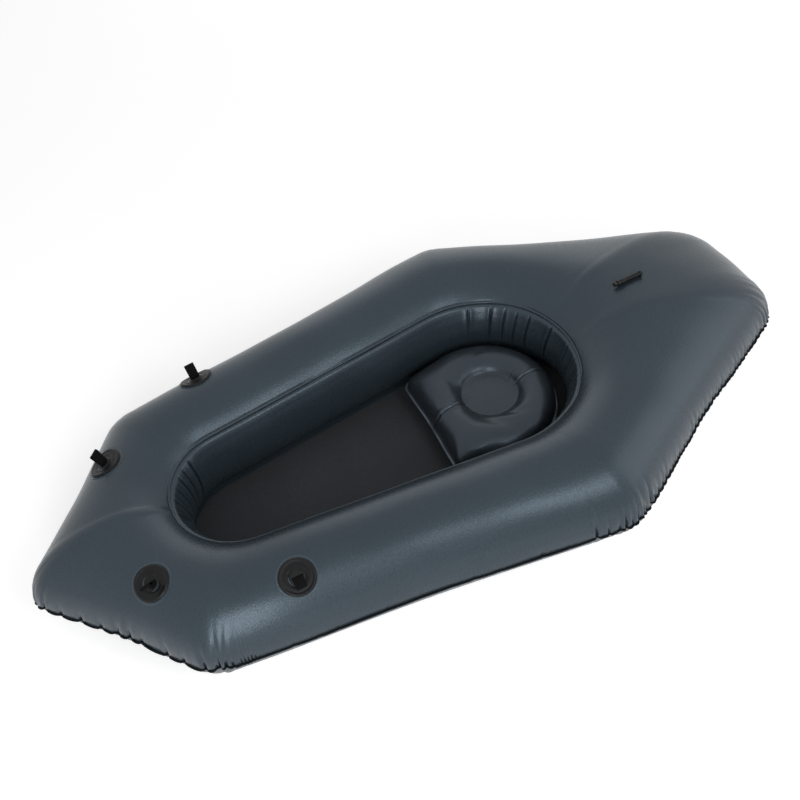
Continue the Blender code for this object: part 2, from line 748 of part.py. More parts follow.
def add_mouthpiece(place, materials, collection):
    """The hard end of the oral tube, with a poppet that a spring holds shut."""
    plastic = materials["plastic"]
    spigot = ORAL_BORE - GAP
    bore = spigot - SPIGOT_WALL
    hole = POPPET_STEM_RADIUS + SPIGOT_WALL
    top = GAP + COLLAR_LENGTH + LIP_LENGTH
    bead = top - 2 * LIP_BEAD
    shelf = GAP + COLLAR_LENGTH / 2
    profile = [(bore, top), (LIP_RADIUS, top), (LIP_RADIUS + LIP_BEAD, bead + LIP_BEAD),
               (LIP_RADIUS, bead - LIP_BEAD), (LIP_RADIUS, GAP + COLLAR_LENGTH),
               (COLLAR_RADIUS, GAP + COLLAR_LENGTH), (COLLAR_RADIUS, GAP), (spigot, GAP),
               (spigot, -SPIGOT_LENGTH), (bore, -SPIGOT_LENGTH), (bore, shelf - SHELF_THICKNESS),
               (hole, shelf - SHELF_THICKNESS), (hole, shelf), (bore, shelf)]
    finish(turned("oral_mouthpiece", profile, place, collection, TUBE_SIDES), plastic)

    head_top = top + POPPET_PROUD
    head = head_top - POPPET_HEAD
    disc_top = -SPIGOT_LENGTH - GAP
    profile = [(0, head_top), (POPPET_HEAD_RADIUS, head_top), (POPPET_HEAD_RADIUS, head),
               (POPPET_STEM_RADIUS, head), (POPPET_STEM_RADIUS, disc_top),
               (spigot, disc_top), (spigot, disc_top - POPPET_DISC), (0, disc_top - POPPET_DISC)]
    finish(turned("oral_poppet", profile, place, collection), plastic)
    coil = bore - SPRING_SIDE_GAP - SPRING_WIRE
    spring = helix("oral_spring", coil, shelf + GAP, head - GAP, place, collection)
    finish(spring, materials["steel"])


def add_main_valve(stations, tree, materials, collection, cutters, deck):
    """The large filling valve: body, self-closing insert, and a cap with its gasket."""
    plastic = materials["plastic"]
    starboard = [s for s in stations if s.outer.y < 0]
    station = min(starboard, key=lambda s: abs(s.outer.x - MAIN_VALVE_X))
    target = tube_point(station, MAIN_VALVE_ANGLE)
    out = target - tube_point(station, math.pi / 2)
    out.z = station.rise * math.sin(MAIN_VALVE_ANGLE)
    out.normalize()
    place = place_on(tree, target + out * 0.3, -out, X_AXIS, MAIN_COLLAR_RADIUS)

    inner_edge = (MAIN_COLLAR_BORE + MAIN_COLLAR_RADIUS) / 2
    over = -SKIN - GAP
    flange = fitted_disc("main_valve_body", deck, (over - MAIN_FLANGE_THICKNESS, over),
                         (inner_edge, MAIN_FLANGE_RADIUS), place, collection, cutters)
    seat = MAIN_COLLAR_BOTTOM + MAIN_SEAT_THICKNESS
    profile = [(MAIN_COLLAR_BORE, MAIN_COLLAR_TOP), (MAIN_COLLAR_RADIUS, MAIN_COLLAR_TOP),
               (MAIN_COLLAR_RADIUS, MAIN_COLLAR_BOTTOM), (MAIN_SEAT_BORE, MAIN_COLLAR_BOTTOM),
               (MAIN_SEAT_BORE, seat), (MAIN_COLLAR_BORE, seat)]
    collar = turned("main_valve_collar", profile, place, collection, DISC_SIDES)
    finish(joined(flange, collar, collection), plastic)
    hole = MAIN_COLLAR_RADIUS + GAP
    cut_hole(deck, "main_valve_hole", hole, 4 * CUT_MARGIN, place, cutters)

    hub = STEM_RADIUS + GAP
    spider_low = seat + GAP
    spider_top = spider_low + SPIDER_THICKNESS
    middle = place @ Matrix.Translation((0, 0, spider_low + SPIDER_THICKNESS / 2))
    outlines = [circle(MAIN_COLLAR_BORE - GAP, DISC_SIDES), circle(hub, SMALL_SIDES)]
    for k in range(SPIDER_HOLES):
        turn = math.tau * k / SPIDER_HOLES
        spot = (SPIDER_HOLE_CIRCLE * math.cos(turn), SPIDER_HOLE_CIRCLE * math.sin(turn))
        outlines.append(circle(SPIDER_HOLE_RADIUS, SMALL_SIDES, spot))
    spider = flat_plate("main_valve_spider", outlines, SPIDER_THICKNESS, middle, collection)
    finish(spider, plastic)

    button = BUTTON_TOP - BUTTON_HEIGHT
    disc_top = MAIN_COLLAR_BOTTOM - GAP
    disc_low = disc_top - DIAPHRAGM_THICKNESS
    lip_top = disc_top + GAP + SKIN
    lip_low = disc_low - GAP
    profile = [(0, BUTTON_TOP), (BUTTON_RADIUS, BUTTON_TOP), (BUTTON_RADIUS, button),
               (STEM_RADIUS, button), (STEM_RADIUS, lip_top), (STEM_LIP, lip_top),
               (STEM_LIP, disc_top + GAP), (STEM_RADIUS, disc_top + GAP),
               (STEM_RADIUS, lip_low), (STEM_LIP, lip_low), (STEM_LIP, lip_low - SKIN),
               (0, lip_low - SKIN)]
    finish(turned("main_valve_stem", profile, place, collection), plastic)
    profile = [(hub, disc_top), (DIAPHRAGM_RADIUS, disc_top), (DIAPHRAGM_RADIUS, disc_low),
               (hub, disc_low)]
    disc = turned("main_valve_diaphragm", profile, place, collection, DISC_SIDES)
    finish(disc, materials["rubber"])
    coil = BUTTON_RADIUS - 2 * SPRING_WIRE
    spring = helix("main_valve_spring", coil, spider_top + GAP, button - GAP, place, collection)
    finish(spring, materials["steel"])
    add_main_cap(place, materials, collection)


def add_main_cap(place, materials, collection):
    inner = MAIN_COLLAR_RADIUS + CAP_CLEARANCE
    outer = inner + CAP_WALL
    gasket_low = MAIN_COLLAR_TOP + GAP
    gasket_top = gasket_low + GASKET_WIRE
    middle = (MAIN_COLLAR_BORE + MAIN_COLLAR_RADIUS) / 2
    ring = []
    for x, y in circle(GASKET_WIRE / 2, 8):
        ring.append((middle + x, gasket_low + GASKET_WIRE / 2 - y))
    gasket = turned("main_valve_gasket", ring, place, collection, DISC_SIDES)
    finish(gasket, materials["rubber"])
    roof = gasket_top + GAP
    top = roof + CAP_WALL
    bevel = CAP_WALL / 3
    profile = [(0, top), (outer - bevel, top), (outer, top - bevel), (outer, CAP_SKIRT_GAP),
               (inner, CAP_SKIRT_GAP), (inner, roof), (0, roof)]
    cap = turned("main_valve_cap", profile, place, collection, DISC_SIDES)
    half = (outer - CAP_WALL, CAP_BAR_WIDTH / 2)
    bar_outline = [(half[0], -half[1]), (half[0], half[1]), (-half[0], half[1]),
                   (-half[0], -half[1])]
    bar_height = CAP_BAR_HEIGHT + bevel
    bar_place = place @ Matrix.Translation((0, 0, top - bevel + bar_height / 2))
    bar = flat_plate("main_valve_grip", [bar_outline], bar_height, bar_place, collection)
    finish(joined(cap, bar, collection), materials["plastic"])


def seat_path():
    """The seat's seam in plan with its outward normals, turned about the round weld."""
    corner_x = SEAT_FRONT_X - SEAT_CORNER_RADIUS
    corner_y = SEAT_FRONT_HALF_WIDTH - SEAT_CORNER_RADIUS
    port = Round(corner_x, SEAT_Y + corner_y, SEAT_CORNER_RADIUS, 4, 0.0, 3)
    rear = Round(COCKPIT_STERN_X, SEAT_Y, SEAT_REAR_RADIUS, 17, 0.0, 3)
    front = Round(corner_x, SEAT_Y - corner_y, SEAT_CORNER_RADIUS, 4, SEAT_FRONT_SAG, 6)
    middle = Vector((RECESS_X, SEAT_Y))
    turn = Matrix.Rotation(SEAT_TURN, 2)
    path = belt([port, rear, front], SEAT_FLANGE)
    return [(middle + turn @ (point - middle), turn @ normal) for point, normal in path]


def seat_rows(path, edge_height, crest_height, middle_height, shares, crest_share, crease):
    """Rows of points from the seat's flange in to its round weld, over one face."""
    middle = Vector((RECESS_X, SEAT_Y))
    rows = [[], []]
    rows += [[] for _ in shares]
    front = min(path, key=lambda pair: (pair[0] - Vector((SEAT_FRONT_X, 0.04))).length)[0]
    rear = min(path, key=lambda pair: (pair[0] - Vector((-1.0, 0.0))).length)[0]
    for point, normal in path:
        rows[0].append((point + normal * SEAT_FLANGE).to_3d() + Z_AXIS * edge_height)
        rows[1].append(point.to_3d() + Z_AXIS * edge_height)
        weld = middle + (point - middle).normalized() * RECESS_RADIUS
        groove = crease if point in (front, rear) else 0.0
        for k, share in enumerate(shares):
            if share > crest_share:
                part = (share - crest_share) / (1 - crest_share)
                foot = edge_height
            else:
                part = 1 - share / crest_share
                foot = middle_height
            bulge = max(1 - part ** SEAT_FULLNESS, 0.0) ** (1 / SEAT_FULLNESS)
            height = foot + (crest_height - foot) * bulge - groove * bulge
            spot = weld.lerp(point, share)
            rows[k + 2].append(spot.to_3d() + Z_AXIS * height)
    return rows


def add_seat(materials, collection):
    """An air cushion of two welded skins, held in at the middle by a round baffle."""
    path = seat_path()
    seam = SEAM_HEIGHT - SEAT_SEAM_DROP
    lift = GAP / 2 + SKIN
    crown = SEAM_HEIGHT + SEAT_CROWN
    weld = SEAM_HEIGHT - RECESS_DROP
    shares = (0.97, 0.86, 0.66, CREST_SHARE, 0.22, 0.07, 0.0)
    rows = seat_rows(path, seam + lift, crown, weld, shares, CREST_SHARE, CREASE_DEPTH)
    centre = Vector((RECESS_X, SEAT_Y, weld))
    top = add_skin("seat_top_skin", skin_mesh("seat_top_skin", rows, centre),
                   materials["seat"], collection)
    sole = FLOOR_TOP + GAP
    shares = (0.95, 0.80, SEAT_FOOT_SHARE, 0.0)
    rows = seat_rows(path, seam - lift, sole, sole, shares, SEAT_FOOT_SHARE, 0.0)
    mesh = skin_mesh("seat_bottom_skin", rows, Vector((RECESS_X, SEAT_Y, sole)))
    mesh.flip_normals()
    add_skin("seat_bottom_skin", mesh, materials["seat"], collection)
    high = weld - SKIN - GAP
    low = sole + SKIN + GAP
    radius = RECESS_RADIUS - BAFFLE_INSET
    profile = [(radius - SKIN, high), (radius, high), (radius, low), (radius - SKIN, low)]
    place = Matrix.Translation((RECESS_X, SEAT_Y, 0))
    baffle = turned("seat_baffle", profile, place, collection, DISC_SIDES)
    finish(baffle, materials["seat"])
    return top


def add_seat_valve(seat_top, materials, collection, cutters):
    tree = surface_of(seat_top)
    beside = Vector((SEAT_VALVE_X, WIDTH / 2, SEAM_HEIGHT - SEAT_VALVE_DROP))
    place = place_on(tree, beside, -Y_AXIS, X_AXIS, SEAT_VALVE_RADIUS)
    inner_edge = (SEAT_VALVE_BORE + SEAT_VALVE_RADIUS) / 2
    flange = fitted_disc("seat_valve_body", seat_top, (GAP, GAP + SKIN),
                         (inner_edge, SEAT_VALVE_FLANGE), place, collection, cutters)
    foot = -2 * SKIN
    profile = [(SEAT_VALVE_BORE, SEAT_VALVE_HEIGHT), (SEAT_VALVE_RADIUS, SEAT_VALVE_HEIGHT),
               (SEAT_VALVE_RADIUS, foot), (SEAT_VALVE_BORE, foot)]
    neck = turned("seat_valve_neck", profile, place, collection, DISC_SIDES)
    finish(joined(flange, neck, collection), materials["plastic"])
    cut_hole(seat_top, "seat_valve_hole", SEAT_VALVE_RADIUS + GAP, 2 * CUT_MARGIN, place, cutters)
    under = SEAT_VALVE_HEIGHT + GAP
    profile = [(0, under + PLUG_HEAD), (PLUG_RADIUS, under + PLUG_HEAD), (PLUG_RADIUS, under),
               (PLUG_STEM_RADIUS, under), (PLUG_STEM_RADIUS, under - PLUG_STEM),
               (0, under - PLUG_STEM)]
    finish(turned("seat_valve_plug", profile, place, collection), materials["rubber"])


def make_materials():
    return {
        "hull": new_material("hull_fabric", (0.045, 0.060, 0.078), 0.45),
        "floor": new_material("floor_fabric", (0.028, 0.028, 0.030), 0.70),
        "seat": new_material("seat_fabric", (0.040, 0.044, 0.048), 0.55),
        "binding": new_material("binding_tape", (0.008, 0.009, 0.010), 0.60),
        "webbing": new_material("black_webbing", (0.006, 0.006, 0.006), 0.85),
        "rubber": new_material("black_rubber", (0.015, 0.016, 0.018), 0.55),
        "plastic": new_material("black_plastic", (0.012, 0.012, 0.013), 0.35),
        "steel": new_material("spring_steel", (0.55, 0.55, 0.56), 0.30, 1.0),
    }


def main():
    for thing in list(bpy.data.objects):
        bpy.data.objects.remove(thing)
    collection = new_collection("inflatable_raft")
    cutters = new_collection("cutters")
    materials = make_materials()
    stations = hull_stations()
    deck = add_deck(stations, materials["hull"], collection)
    add_wall(stations, materials["hull"], collection)
    add_bottom(stations, materials["hull"], collection)
    add_floor(stations, materials["floor"], collection)
    add_binding(stations, materials["binding"], collection)
    tree = surface_of(deck)
    for number in (1, 2, 3, 4):
        add_tie_down(number, tree, deck, materials, collection, cutters)
    add_oral_tube(tree, materials, collection, cutters, deck)
    add_main_valve(stations, tree, materials, collection, cutters, deck)
    seat_top = add_seat(materials, collection)
    add_seat_valve(seat_top, materials, collection, cutters)


main()
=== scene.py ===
"""Looks of the inflatable raft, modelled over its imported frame. Lengths are in metres.

+X points to the bow, +Y to port and +Z up. A hull sheet is a grid: its columns are sections of the
air tube, counted anticlockwise from the bow, and its rows run from the outer seam over the tube.
"""
import functools
import json
import math

import bmesh
import bpy
import numpy as np
from bpy.props import FloatProperty, FloatVectorProperty, IntProperty, PointerProperty
from mathutils import Matrix, Vector
from mathutils.bvhtree import BVHTree

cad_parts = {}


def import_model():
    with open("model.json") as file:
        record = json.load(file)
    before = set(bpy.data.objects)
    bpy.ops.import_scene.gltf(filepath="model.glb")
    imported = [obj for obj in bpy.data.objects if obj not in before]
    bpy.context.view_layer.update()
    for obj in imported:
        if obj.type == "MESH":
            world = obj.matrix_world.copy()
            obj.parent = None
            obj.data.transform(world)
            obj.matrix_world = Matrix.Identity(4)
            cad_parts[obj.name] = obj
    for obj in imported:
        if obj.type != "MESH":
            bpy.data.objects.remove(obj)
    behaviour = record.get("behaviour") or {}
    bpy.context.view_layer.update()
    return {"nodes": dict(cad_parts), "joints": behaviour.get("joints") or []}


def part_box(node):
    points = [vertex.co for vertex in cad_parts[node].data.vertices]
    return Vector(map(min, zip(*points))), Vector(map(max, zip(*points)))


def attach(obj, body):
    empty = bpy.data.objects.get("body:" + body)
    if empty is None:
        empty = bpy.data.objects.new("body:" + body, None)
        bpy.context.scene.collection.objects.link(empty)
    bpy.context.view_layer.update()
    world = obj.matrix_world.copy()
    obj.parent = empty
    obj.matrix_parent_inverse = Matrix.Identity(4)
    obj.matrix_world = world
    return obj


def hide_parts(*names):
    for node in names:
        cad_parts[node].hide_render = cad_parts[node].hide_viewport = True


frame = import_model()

bl_info = {
    "name": "Inflatable raft",
    "version": (1, 0, 0),
    "blender": (4, 5, 0),
    "location": "3D View > Sidebar > Raft",
    "description": "Dresses the packed frame of a one-person inflatable raft",
    "category": "Object",
}

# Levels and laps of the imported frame
FLOOR_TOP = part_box("floor_sheet")[1].z
SEAM_HEIGHT = (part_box("outer_seam_binding")[0].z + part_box("outer_seam_binding")[1].z) / 2
HALF_HEIGHT = 0.1435
END_SWELL = 0.280
BILGE_FULLNESS = 1.5
RIM_HEIGHT = 0.091
RIM_LAP = 0.015
FLOOR_LAP = 0.015
GAP = 0.0003

# Corner circles of the plan: x, y, radius, and the sag of the edge that follows, with the
# spacing and the depth of its puckers
PLAN = (
    (0.949, 0.0, 0.051, 0.008, 0.050, 0.0104),
    (0.634, 0.279, 0.116, 0.010, 0.056, 0.0020),
    (-0.280, 0.4185, 0.110, 0.009, 0.017, 0.0034),
    (-0.877, 0.086, 0.120, -0.003, 0.028, 0.0028),
    (-0.877, -0.086, 0.120, 0.009, 0.026, 0.0026),
    (-0.280, -0.4185, 0.110, 0.010, 0.052, 0.0018),
    (0.634, -0.279, 0.116, 0.008, 0.046, 0.0056),
)
# Long creases at the near shoulders: place on the seam, depth, length and width
SHOULDER_CREASES = (
    (-0.197, 0.517, 0.0064, 0.060, 0.0036), (-0.226, 0.522, 0.0036, 0.034, 0.0030),
    (-0.270, 0.528, 0.0070, 0.064, 0.0036), (-0.288, 0.528, 0.0034, 0.030, 0.0026),
    (-0.306, 0.525, 0.0060, 0.050, 0.0034), (-0.325, 0.519, 0.0040, 0.044, 0.0030),
    (-0.357, 0.502, 0.0082, 0.050, 0.0040), (0.674, 0.388, 0.0080, 0.058, 0.0036),
    (0.645, 0.395, 0.0030, 0.030, 0.0028), (0.627, 0.397, 0.0024, 0.040, 0.0018),
    (0.619, 0.398, 0.0026, 0.044, 0.0018), (0.611, 0.399, 0.0022, 0.040, 0.0018),
    (0.603, 0.400, 0.0026, 0.036, 0.0018), (0.595, 0.401, 0.0018, 0.030, 0.0018),
)
# Spacing of the plan's points, and how many of them its values blend over
PLAN_STEP = 0.0012
BLEND_STEPS = 12
# How closely the sections stand: on a straight edge, how much more at a corner and where the
# puckers are closer than a pitch, and at a long crease, with its reach
EDGE_SECTIONS = 0.7
CORNER_SECTIONS = 2.1
CLOSE_SECTIONS = 0.7
CLOSE_PITCH = 0.03
CREASE_SECTIONS = 3.6
CREASE_REACH = 0.014
# Corners: the radius of one that counts as 1, and the most that a sharper one counts
TIGHT_CORNER = 0.11
SHARPEST = 1.3
# Pitches of the corners' puckers and of the long creases, and the place of the first pucker
CORNER_PITCH = 0.020
CREASE_PITCH = 0.012
FIRST_PUCKER = 0.004
# A pucker's share of its depth, its length, its extra length at a corner, its width and its
# share of the pitch: the least of each, and how much a draw adds
PUCKER_DEPTH = (0.40, 0.70)
PUCKER_LENGTH = (0.020, 0.028)
CORNER_LENGTH = (0.020, 0.050)
PUCKER_WIDTH = (0.0030, 0.0018)
PUCKER_PITCH = (0.62, 0.76)
PUCKER_SLANT = 0.12
# Width over which the puckers start at the seam, and how far in its waves reach
PUCKER_START = 0.004
SEAM_REACH = 0.022
# Shares of a pucker's depth by which it draws the seam in, sharply and then broadly, and by
# which it lifts the seam or lowers it
SEAM_PINCH = 0.55
SEAM_DIP = 0.45
SEAM_LIFT = 0.45
# Unevenness of the outer seam, and how far it stands out where nothing pinches it
SEAM_WAVE = 0.0011
NOTCH_REST = 0.0014

# Circles at the two ends of the cockpit: x and radius
COCKPIT_BOW = (0.458, 0.140)
COCKPIT_STERN = (-0.192, 0.215)

# Rows of the deck sheet and of the wall near the rim, by their distance over the tube from it
RIM_ROWS = (0.012, 0.0092, 0.0078, 0.0068, 0.0060, 0.0052, 0.0042, 0.0030, 0.0018, 0.0008, 0.0)
WALL_ROWS = (RIM_LAP, 0.009, 0.004, 0.0, -0.0016, -0.0034, -0.0060, -0.0095, -0.014)
# Distance of the rim's dark weld line and its width, and the bead and the groove beside it: the
# height, the distance from the rim and the width of each. The line lies in the groove, and its
# darkness is partly the weld's own joint and partly painted shade.
RIM_WELD = 0.0062
RIM_LINE_SHADE = 0.0011
RIM_BEAD = (0.0012, 0.0018, 0.0019)
RIM_GROOVE = (0.0009, RIM_WELD, 0.0014)
# Swell and groove of the wall under the rim, listed in the same way, and how much deeper its
# folds are than listed and how far they lean
WALL_SWELL = (0.0022, 0.0125, 0.0075)
WALL_GROOVE = (0.0024, 0.0020, 0.0020)
FOLD_DEPTH = 1.4
FOLD_LEAN = 0.10
# Floor sheet: how far its edge stays short of the tube, how far its middle sags, and its grid
FLOOR_CLEAR = 0.0008
FLOOR_BELLY = 0.0022
FLOOR_GRID = (92, 44)
# Size and height of the slow waves of the deck and of the wall
DECK_WAVES = (0.16, 0.0010)
WALL_WAVES = (0.11, 0.0010)

# Folds of the cockpit wall: where each stands on the cockpit's outline, the levels between
# which it runs, its depth and its width
WALL_FOLDS = (
    (-0.274, -0.204, 0.228, 0.165, 0.0040, 0.0030), (-0.321, -0.173, 0.228, 0.140, 0.0046, 0.0030),
    (-0.348, -0.152, 0.228, 0.138, 0.0036, 0.0026), (-0.367, -0.127, 0.226, 0.130, 0.0030, 0.0028),
    (-0.385, -0.099, 0.226, 0.125, 0.0042, 0.0032), (-0.404, -0.036, 0.230, 0.110, 0.0052, 0.0036),
    (-0.404, 0.030, 0.228, 0.120, 0.0034, 0.0030), (-0.394, 0.074, 0.226, 0.130, 0.0046, 0.0030),
    (-0.372, 0.121, 0.228, 0.118, 0.0038, 0.0032), (-0.345, 0.156, 0.228, 0.135, 0.0044, 0.0028),
    (-0.310, 0.181, 0.226, 0.145, 0.0034, 0.0030), (-0.262, 0.206, 0.228, 0.160, 0.0042, 0.0030),
    (0.541, -0.122, 0.226, 0.095, 0.0044, 0.0032), (0.556, -0.101, 0.224, 0.110, 0.0036, 0.0026),
    (0.571, -0.087, 0.226, 0.105, 0.0044, 0.0028), (0.586, -0.066, 0.224, 0.120, 0.0032, 0.0028),
    (0.594, -0.034, 0.226, 0.110, 0.0040, 0.0030), (0.598, 0.006, 0.224, 0.125, 0.0034, 0.0030),
    (0.592, 0.044, 0.226, 0.115, 0.0042, 0.0030), (0.575, 0.081, 0.226, 0.105, 0.0036, 0.0028),
    (0.553, 0.107, 0.224, 0.110, 0.0044, 0.0030),
)

# Seat, as the frame has it: the rear circle, the two front corners and the round weld
SEAT_Y = -0.010
SEAT_TURN = math.radians(-2.5)
SEAT_REAR_RADIUS = 0.197
SEAT_FRONT_X = -0.040
SEAT_FRONT_HALF_WIDTH = 0.174
SEAT_CORNER_RADIUS = 0.032
SEAT_FLANGE = 0.0050
WELD_X = -0.219
WELD_RADIUS = 0.075
WELD_LEVEL = 0.119
SEAT_SEAM = 0.089
SEAT_CROWN = 0.144
SEAT_COLUMNS = 260
# Rings inside the weld, as shares of its radius, and how far its middle domes up
RECESS_RINGS = (0.93, 0.80, 0.60, 0.40, 0.20)
RECESS_DOME = 0.0045
# The cushion keeps its shape this close to its valve, and blends back over the next stretch
VALVE_GUARD = 0.016
VALVE_BLEND = 0.02
SEAT_SEED = 11

# Creases of the seat: direction from the weld, depth, width, and where each starts and ends
SEAT_CREASES = (
    (0.05, 0.0070, 0.0036, 0.078, 0.175), (math.radians(176), 0.0062, 0.0036, 0.078, 0.150),
)
# Sides of the weld that are finely puckered, with the length, the depth, the width and the
# spacing of the puckers: the least of each, and how much a draw adds
SEAT_PUCKERS = ((-0.45, 0.90), (2.50, 2.98), (-2.95, -2.75))
SEAT_PUCKER_LENGTH = (0.010, 0.016)
SEAT_PUCKER_DEPTH = (0.0010, 0.0012)
SEAT_PUCKER_WIDTH = (0.0017, 0.0008)
SEAT_PUCKER_TURN = (0.070, 0.050)

# Height of a loop's hinge over the deck, the radius of the boss round it and how flat that is,
# and the angle at which each loop stands over
PAD_REST = 0.0069
BOSS_RADIUS = 0.017
FLAT = 0.0004
LOOP_LEANS = (math.radians(45), 0.0, math.radians(25), 0.0)
# Each loop's number, the half-width of its belly, and how far its crown leans over
LOOP_FORMS = ((1, 0.0040, 0.0006), (2, 0.0043, -0.0004), (3, 0.0037, 0.0002), (4, 0.0041, 0.0005))
# Half the gap between a loop's legs, where its belly starts, and the height of the belly
LOOP_LEG = 0.0008
LOOP_ROOT = 0.010
LOOP_RISE = 0.028
# Webbing: its thickness, the step along it, and the depth and pitch of the picks at its edges
WEBBING_THICKNESS = 0.0015
WEBBING_STEP = 0.0006
PICK_DEPTH = 0.00015
PICK_PITCH = 0.0024
# Slot of a pad, the flat hubs of the pads, the main valve's collar and the seat valve's neck, and
# the hole in the deck for the main valve
SLOT_RADIUS = 0.0023
SLOT_LENGTH = 0.0266
PAD_HUB = 0.0192
COLLAR_HUB = 0.0178
NECK_HUB = 0.0072
VALVE_HOLE = 0.0165

# Lamps: the name of each, which is also its power's setting, its two sides and its place
LAMPS = (
    ("bow_key", (0.85, 2.1), (1.50, 2.70, 1.40)),
    ("stern_key", (1.30, 1.6), (-0.85, 3.10, 3.18)),
    ("side", (1.8, 2.9), (-2.90, 1.50, 1.60)),
    ("rear", (2.6, 2.6), (-1.40, -3.60, 1.60)),
)
# Point that the lamps face, and the studio floor's side and how far it lies under the raft
LAMP_TARGET = Vector((0, 0, 0.15))
GROUND_SIZE = 24
GROUND_DROP = 0.0004


# Settings

def length(name, description, default, low=0.0, high=10.0):
    """A setting that is a length in metres."""
    return FloatProperty(name=name, description=description, default=default, min=low, max=high,
                         unit="LENGTH", subtype="DISTANCE", precision=4)


def colour(name, description, default):
    """A setting that is a colour."""
    return FloatVectorProperty(name=name, description=description, default=default, size=3,
                               min=0.0, max=1.0, subtype="COLOR")


def watts(name, default):
    """A setting that is a lamp's power."""
    return FloatProperty(name=name, description="Power in watts", default=default, min=0)


class RaftHullSettings(bpy.types.PropertyGroup):
    sheet: length("Sheet", "Thickness of the coated fabric", 0.0008, 0.0003, 0.003)
    tape: length("Seam tape", "Width of the tape folded over the outer seam", 0.0052, 0.003, 0.02)
    corner_pucker: length("Corner pucker", "Depth of the puckers at corners", 0.0086, 0.0, 0.012)
    columns: IntProperty(name="Sections", description="Sections round the air tube",
                         default=1200, min=200, max=2000)
    seed: IntProperty(name="Seed", description="Draw of the puckers", default=7, min=0)
    hull: colour("Hull", "Slate coated fabric of the air tube", (0.023, 0.033, 0.041))
    bottom: colour("Underside", "Paler fabric under the tube", (0.150, 0.155, 0.162))
    floor: colour("Floor", "Heavy fabric of the floor", (0.038, 0.038, 0.041))
    tape_colour: colour("Tape", "Black seam tape", (0.003, 0.003, 0.0035))


class RaftSeatSettings(bpy.types.PropertyGroup):
    fabric: colour("Seat", "Fabric of the seat", (0.021, 0.026, 0.032))
    pressure: FloatProperty(name="Pressure", description="Air pressure while the seat is blown up",
                            default=3.0, min=0.0, max=20.0)
    frames: IntProperty(name="Frames", description="Steps of the blowing up", default=20, min=1)
    swell: length("Swell", "Most that a point may move while it is blown up", 0.006, 0.0, 0.03)
    flange: length("Flange", "Width of the welded edge", SEAT_FLANGE, 0.002, 0.02)


class RaftFittingSettings(bpy.types.PropertyGroup):
    base_radius: length("Base patch", "Radius of the patch under a pad", 0.0475, 0.02, 0.1)
    pad_radius: length("Pad", "Radius of a moulded pad", 0.0425, 0.02, 0.1)
    webbing: length("Webbing", "Width of the tie-down webbing", 0.0250, 0.01, 0.05)
    loop_height: length("Loop", "Height of a tie-down loop", 0.0380, 0.02, 0.08)
    rubber: colour("Soft plastic", "Moulded pads and the oral tube", (0.0050, 0.0054, 0.0062))
    plastic: colour("Hard plastic", "Valves", (0.0070, 0.0070, 0.0075))
    webbing_colour: colour("Webbing", "Woven black webbing", (0.0020, 0.0020, 0.0022))
    steel: colour("Steel", "Valve springs", (0.55, 0.55, 0.56))


class RaftStageSettings(bpy.types.PropertyGroup):
    lens: FloatProperty(name="Lens", description="Focal length in millimetres", default=46.04,
                        min=10, max=200)
    azimuth: FloatProperty(name="Azimuth", description="Direction that the camera stands in",
                           default=math.radians(160.728), subtype="ANGLE")
    elevation: FloatProperty(name="Elevation", description="Height of the camera, as an angle",
                             default=math.radians(48.209), subtype="ANGLE")
    roll: FloatProperty(name="Roll", description="Turn of the picture", subtype="ANGLE",
                        default=math.radians(-9.837))
    distance: length("Distance", "From the camera to its target", 2.6557, 0.5, 20.0)
    target: FloatVectorProperty(name="Target", description="Point that the camera looks at",
                                default=(-0.0036, -0.1009, 0.139), size=3, subtype="XYZ",
                                unit="LENGTH")
    ground: colour("Floor", "Pale studio floor", (0.86, 0.86, 0.86))
    bow_key: watts("Bow key", 44)
    stern_key: watts("Stern key", 35)
    side: watts("Side lamp", 18)
    rear: watts("Rear lamp", 9)
    sky: FloatProperty(name="Sky", description="Strength of the even light", default=0.36, min=0)
    glow: FloatProperty(name="Glow", description="How much of the floor's white is its own",
                        default=0.54, min=0)


# Small tools for meshes

# Smallest radius of a turned ring, and the distance within which points are merged
POLE_RADIUS = 0.00001
MERGE = 0.00003


def deselect():
    """Let go of every object."""
    bpy.ops.object.select_all(action="DESELECT")


def activate(thing):
    """Select one object alone and make it the active one."""
    deselect()
    thing.select_set(True)
    bpy.context.view_layer.objects.active = thing


def new_object(name, points, faces):
    """A new object from points and faces."""
    mesh = bpy.data.meshes.new(name)
    mesh.from_pydata([tuple(p) for p in points], [], faces)
    mesh.update()
    thing = bpy.data.objects.new(name, mesh)
    bpy.context.scene.collection.objects.link(thing)
    return thing


def grid_faces(rows, columns, closed=False):
    """Faces of a grid of points that closes round its columns, and round its rows if closed."""
    faces = []
    for row in range(rows if closed else rows - 1):
        low = row * columns
        high = (row + 1) % rows * columns
        for k in range(columns):
            after = (k + 1) % columns
            faces.append((low + k, low + after, high + after, high + k))
    return faces


def face_outwards(thing):
    """Turn the faces of a closed piece outwards."""
    shape = bmesh.new()
    shape.from_mesh(thing.data)
    bmesh.ops.recalc_face_normals(shape, faces=shape.faces)
    shape.to_mesh(thing.data)
    shape.free()


def write_uv(thing, uv):
    """The piece's own UV map, from a place on the cloth for each corner of its faces."""
    layer = thing.data.uv_layers.new(name="cloth")
    layer.data.foreach_set("uv", uv.astype(np.float32).ravel())


def corner_points(thing):
    """The number of the point at each corner of the piece's faces."""
    corners = np.zeros(len(thing.data.loops), np.int32)
    thing.data.loops.foreach_get("vertex_index", corners)
    return corners


def set_uv(thing, along, down):
    """A UV map in metres for four-sided faces: along the seam, and down the sheet."""
    corners = corner_points(thing)
    uv = np.stack([along[corners], down[corners]], 1)
    total = along.max()
    u = uv[:, 0].reshape(-1, 4)
    wide = (u.max(1) - u.min(1)) > total / 2
    u[wide] = np.where(u[wide] < total / 2, u[wide] + total, u[wide])
    uv[:, 0] = u.reshape(-1)
    write_uv(thing, uv)


